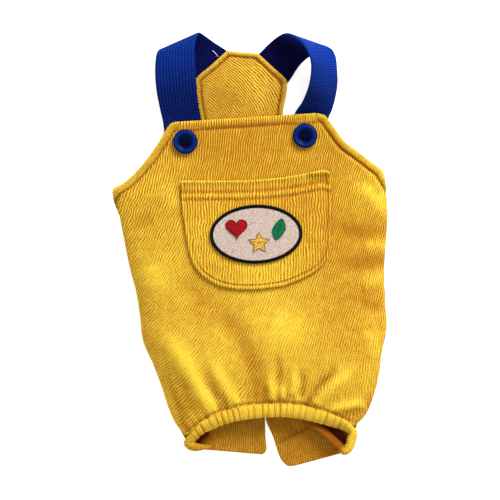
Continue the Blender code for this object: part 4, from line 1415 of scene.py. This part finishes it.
def inset_line(line, distance):
    """A line moved sideways, to the left of its direction."""
    tangent = headings(line)
    return line + np.stack([-tangent[:, 1], tangent[:, 0]], axis=1) * distance


def run_stitches(line, height):
    """Running stitches along a line, each bowed up out of the cloth."""
    lengths = walked(line)
    starts = np.arange(STITCH_PITCH / 2, lengths[-1] - STITCH, STITCH_PITCH)
    at = starts[:, None] + np.linspace(0, STITCH, 6)
    x, y = (np.interp(at, lengths, line[:, k]) for k in (0, 1))
    rise = STITCH_THREAD * (0.55 * np.sin(np.linspace(0, math.pi, 6)) - 0.35)
    return list(np.stack([x, y, height(x, y) + rise], axis=2))


def make_seams(looks):
    """Rows of running stitches on the panels and the pocket, and the overlocked hem seam."""
    hems = [
        inset_line(BIB_EDGE, -BIB_HEM),
        inset_line(ARMHOLE_EDGES["left"], ARMHOLE_HEM),
        inset_line(ARMHOLE_EDGES["right"], -ARMHOLE_HEM),
    ]
    pocket = [inset_line(POCKET_SEWN, POCKET_MARGIN)]
    pocket += [POCKET_TOP[1:-1] - np.array([0, row]) for row in POCKET_HEM]
    flap = [trail(line) for line in FLAP_STITCHES]
    tab = [inset_line(TAB_EDGE, -TAB_HEM)[30:-30]]
    for name, slot, height, lines in (
        ("bib_seam", "knit_yellow", front_height, hems),
        ("pocket_seam", "knit_yellow", pocket_height, pocket),
        ("flap_seam", "knit_yellow_back", back_height, flap),
        ("tab_seam", "knit_yellow_back", tab_height, tab),
    ):
        stitches = [stitch for line in lines for stitch in run_stitches(line, height)]
        if name == "bib_seam":
            stitches = [stitch for stitch in stitches if np.min(hem_shares(*stitch.T[:2])) > 0.9]
        add_threads(name, stitches, STITCH_THREAD, slot, looks["seam"])
    add_threads("hem_seam", hem_teeth(), HEM_TOOTH_THREAD, "knit_yellow", looks["hem"], sides=6)


def hem_teeth():
    """Overlocked stitches that reach across the seam between the body and the casing."""
    lengths = walked(HEM_EDGE)
    tangent = headings(HEM_EDGE)
    at = np.arange(0.004, lengths[-1] - 0.004, HEM_TOOTH_PITCH)[:, None]
    reach = np.linspace(-0.0006, 0.0020, 4)
    rise = np.array([-0.0004, 0.0003, 0.0002, -0.0003])
    x = np.interp(at, lengths, HEM_EDGE[:, 0]) - np.interp(at, lengths, tangent[:, 1]) * reach
    y = np.interp(at, lengths, HEM_EDGE[:, 1]) + np.interp(at, lengths, tangent[:, 0]) * reach
    return list(np.stack([x, y, front_height(x, y) + rise], axis=2))


def badge_surface(x, y):
    return pocket_height(x, y) + SEAT + BADGE_FELT


def make_badge(looks):
    """The oval ground: rings of points on the pocket's face, closed under and round."""
    a = BADGE_WIDTH / 2 - BADGE_BORDER * 0.8
    b = BADGE_HEIGHT / 2 - BADGE_BORDER * 0.8
    turns = circle(BADGE_SEGMENTS)
    shares = np.arange(1, BADGE_RINGS + 1)[:, None] / BADGE_RINGS
    x = (a * shares * np.cos(turns)).ravel()
    y = (b * shares * np.sin(turns)).ravel()
    x, y = badge_spin(np.concatenate([[0], x]), np.concatenate([[0], y]))
    top = np.stack([x, y, badge_surface(x, y)], axis=1)
    low = top - np.array([0, 0, BADGE_FELT])
    count = len(top)
    index, rings = ring_faces(BADGE_RINGS, BADGE_SEGMENTS, 1)
    after = np.roll(index, -1, axis=1)
    upper = rings[:, [0, 3, 2, 1]]
    fan = np.stack([np.zeros(BADGE_SEGMENTS, int), index[0], after[0]], axis=1)
    rim = quads(index[-1] + count, after[-1] + count, after[-1], index[-1])
    faces = upper.tolist() + fan.tolist() + rim.tolist()
    faces += (upper[:, ::-1] + count).tolist() + (fan[:, ::-1] + count).tolist()
    points = np.concatenate([top, low])
    piece = add_piece("badge_ground", points, faces, "badge_ground", looks["twill"], ["badge"], sharp=50)


def make_badge_border(looks):
    """The overcast rim: a thread wound closely round the badge's edge."""
    a = (BADGE_WIDTH - BADGE_BORDER) / 2
    b = (BADGE_HEIGHT - BADGE_BORDER) / 2
    t = np.linspace(0, 2 * math.pi, 10 * RIM_WINDS + 1)
    across = BADGE_BORDER / 2 * np.cos(t * RIM_WINDS) / np.hypot(a * np.sin(t), b * np.cos(t))
    x, y = badge_spin((a + across * b) * np.cos(t), (b + across * a) * np.sin(t))
    z = pocket_height(x, y) + SEAT + 0.00085 + 0.00062 * np.sin(t * RIM_WINDS)
    line = np.stack([x, y, z], axis=1)
    add_threads("badge_rim", [line], RIM_THREAD, "badge_border", looks["black"], ["badge_border"], sides=5)


def motif_outline(name):
    """A motif's outline about one unit high, round its middle."""
    if name == "heart":
        turn = -circle(96)
        x = 16 * np.sin(turn) ** 3
        y = 13 * np.cos(turn) - 5 * np.cos(2 * turn) - 2 * np.cos(3 * turn) - np.cos(4 * turn)
        return np.stack([x, y + 2.5], axis=1) / 29
    if name == "star":
        turn = math.pi / 2 + circle(10)
        radius = np.where(np.arange(10) % 2 == 0, 0.5, 0.23)
        return np.stack([radius * np.cos(turn), radius * np.sin(turn)], axis=1)
    turn = circle(80)
    height = np.sin(turn)
    across = 0.32 * np.cos(turn) * (1 - 0.35 * np.abs(height)) + 0.14 * height
    return np.stack([across, 0.5 * height], axis=1)


def crossings(outline, level):
    """Where a level line crosses a closed outline, from left to right."""
    found = []
    for (x0, y0), (x1, y1) in zip(outline, np.roll(outline, -1, axis=0)):
        if (y0 - level) * (y1 - level) < 0:
            found.append(x0 + (x1 - x0) * (level - y0) / (y1 - y0))
    return sorted(found)


def satin(outline, angle):
    """Satin stitches that fill an outline in the badge's axes, at an angle."""
    c, s = math.cos(angle), math.sin(angle)
    x, y = outline.T
    spun = np.stack([c * x + s * y, c * y - s * x], axis=1)
    rows = []
    for level in np.arange(spun[:, 1].min() + SATIN_PITCH / 2, spun[:, 1].max(), SATIN_PITCH):
        ends = crossings(spun, level)
        for left, right in zip(ends[::2], ends[1::2]):
            if right - left > 2 * SATIN_PITCH:
                rows.append((left, right, level))
    left, right, level = np.array(rows).T[:, :, None]
    share = np.linspace(0, 1, 7)
    along = blend(left, right, share)
    x, y = badge_spin(c * along - s * level, s * along + c * level)
    rise = SATIN_RISE * np.sin(math.pi * np.clip(share, 0.12, 0.88)) ** 0.6
    return list(np.stack([x, y, badge_surface(x, y) + rise], axis=2))


def on_badge(name, shape):
    """Places in the badge's axes of a shape that is given in a motif's own axes."""
    across, down, size = MOTIFS[name][:3]
    middle = np.array([across * BADGE_WIDTH / 2, -down * BADGE_HEIGHT / 2])
    return middle + shape * size * BADGE_HEIGHT


def make_motif(name, looks):
    *_, angle, colour, _ = MOTIFS[name]
    lines = satin(on_badge(name, motif_outline(name)), angle)
    piece = "embroidered_" + name
    add_threads(piece, lines, SATIN_THREAD, "thread_" + colour, looks[colour], ["badge_" + name], sides=6)


def closed_ring(outline, share):
    """A closed line inside an outline, at a share of its size."""
    middle = outline.mean(axis=0)
    ring = middle + (outline - middle) * share
    return np.concatenate([ring, ring[:2]])


def motif_details(name):
    """Dark lines stitched over a motif, in its own axes."""
    outline = motif_outline(name)
    details = [closed_ring(outline, 0.97)]
    if name == "leaf":
        details += [
            np.array([[-0.12, -0.40], [-0.03, -0.10], [0.05, 0.15], [0.11, 0.36]]),
            np.array([[-0.02, -0.06], [-0.14, 0.06]]),
            np.array([[-0.02, -0.06], [0.12, 0.06]]),
            np.array([[0.05, 0.13], [-0.04, 0.23]]),
            np.array([[0.05, 0.13], [0.16, 0.23]]),
        ]
    if name == "heart":
        details.append(closed_ring(outline, 0.45))
    if name == "star":
        for turn in math.pi / 2 + circle(5):
            details.append(np.array([[0, 0], [0.30 * math.cos(turn), 0.30 * math.sin(turn)]]))
    return details


def make_motif_lines(name, looks):
    """The dark threads that outline a motif and mark its inside."""
    lines = []
    for detail in motif_details(name):
        lengths = walked(detail)
        even = np.linspace(0, lengths[-1], max(int(lengths[-1] / 0.03), 4))
        shape = np.stack([np.interp(even, lengths, detail[:, k]) for k in (0, 1)], axis=1)
        x, y = badge_spin(*on_badge(name, shape).T)
        lines.append(np.stack([x, y, badge_surface(x, y) + OUTLINE_RISE], axis=1))
    add_threads("lines_on_" + name, lines, OUTLINE_THREAD, "badge_border", looks[MOTIFS[name][5]], sides=6)


def make_button_thread(side, looks):
    """Two crossed pairs of threads over the dish, down through the holes."""
    share = np.linspace(-1.05, 1.05, 19)
    level = BUTTON_WEB + 0.0006 - 0.0018 * soft_step(np.abs(share), 0.70, 1.0)
    lines = []
    for direction, above in ((-1, 0), (1, 0.0003)):
        for shift in (-0.00038, 0.0, 0.00038):
            along = share * BUTTON_HOLE_SPACING / 2
            line = np.stack([along + shift, direction * (along - shift), level + above], axis=1)
            lines.append(line + button_seat(side))
    name = "button_stitch_" + side
    add_threads(name, lines, BUTTON_THREAD, "thread_blue", looks["blue"], ["button_thread_" + side])


def make_stray_thread(looks):
    """A loose white thread end that stands out over the left strap's root."""
    table = np.array(STRAY_THREAD)
    height = STRAP_ROOT_LEVEL + TAB_LIFT + BACK_TOP + table[:, 2] * MILLIMETRE
    knots = np.column_stack([trail(table[:, :2]), height])
    line = smooth_rows(knots, np.linspace(0, len(knots) - 1, 24))
    add_threads("stray_thread", [line], STRAY_THREAD_WIDTH, "badge_ground", looks["white"])


def make_floor():
    grid = bmesh.new()
    bmesh.ops.create_grid(grid, x_segments=1, y_segments=1, size=3.0)
    mesh = bpy.data.meshes.new("floor")
    grid.to_mesh(mesh)
    grid.free()
    look = Look("floor_paper", 0.9)
    look.colour(look.mix(look.noise(0.05), (0.86, 0.86, 0.86), (0.90, 0.90, 0.90)))
    look.set(Emission_Color=(1, 1, 1, 1), Emission_Strength=0.58)
    mesh.materials.append(look.material)
    floor = link("floor", mesh)
    floor.location.z = -0.0002


def add_light(name, place, size, power):
    """An area light that shines on the middle of the floor."""
    light = bpy.data.lights.new(name, "AREA")
    light.energy = power
    light.size = size
    lamp = link(name, light)
    lamp.location = place
    lamp.rotation_euler = (-Vector(place)).to_track_quat("-Z", "Y").to_euler()


def make_studio():
    add_light("key", *KEY_LIGHT)
    add_light("fill", *FILL_LIGHT)
    world = bpy.data.worlds.new("studio")
    world.use_nodes = True
    background = world.node_tree.nodes["Background"]
    background.inputs["Color"].default_value = (*SKY, 1)
    background.inputs["Strength"].default_value = SKY_STRENGTH
    scene = bpy.context.scene
    scene.world = world
    scene.view_settings.view_transform = "Standard"
    camera = bpy.data.cameras.new("camera")
    camera.lens = camera.sensor_width * CAMERA_DISTANCE / VIEW_WIDTH
    scene.camera = link("camera", camera)
    scene.camera.location = (0, 0, CAMERA_DISTANCE)


def build():
    looks = make_looks()
    make_back(looks)
    make_front(looks)
    make_casing(looks)
    make_pocket(looks)
    make_badge(looks)
    make_badge_border(looks)
    for name in MOTIFS:
        make_motif(name, looks)
    for name in MOTIFS:
        make_motif_lines(name, looks)
    for side in ("left", "right"):
        make_strap(side, looks)
        make_button(side, looks)
        make_button_thread(side, looks)
    make_seams(looks)
    make_stray_thread(looks)
    make_floor()
    make_studio()


build()
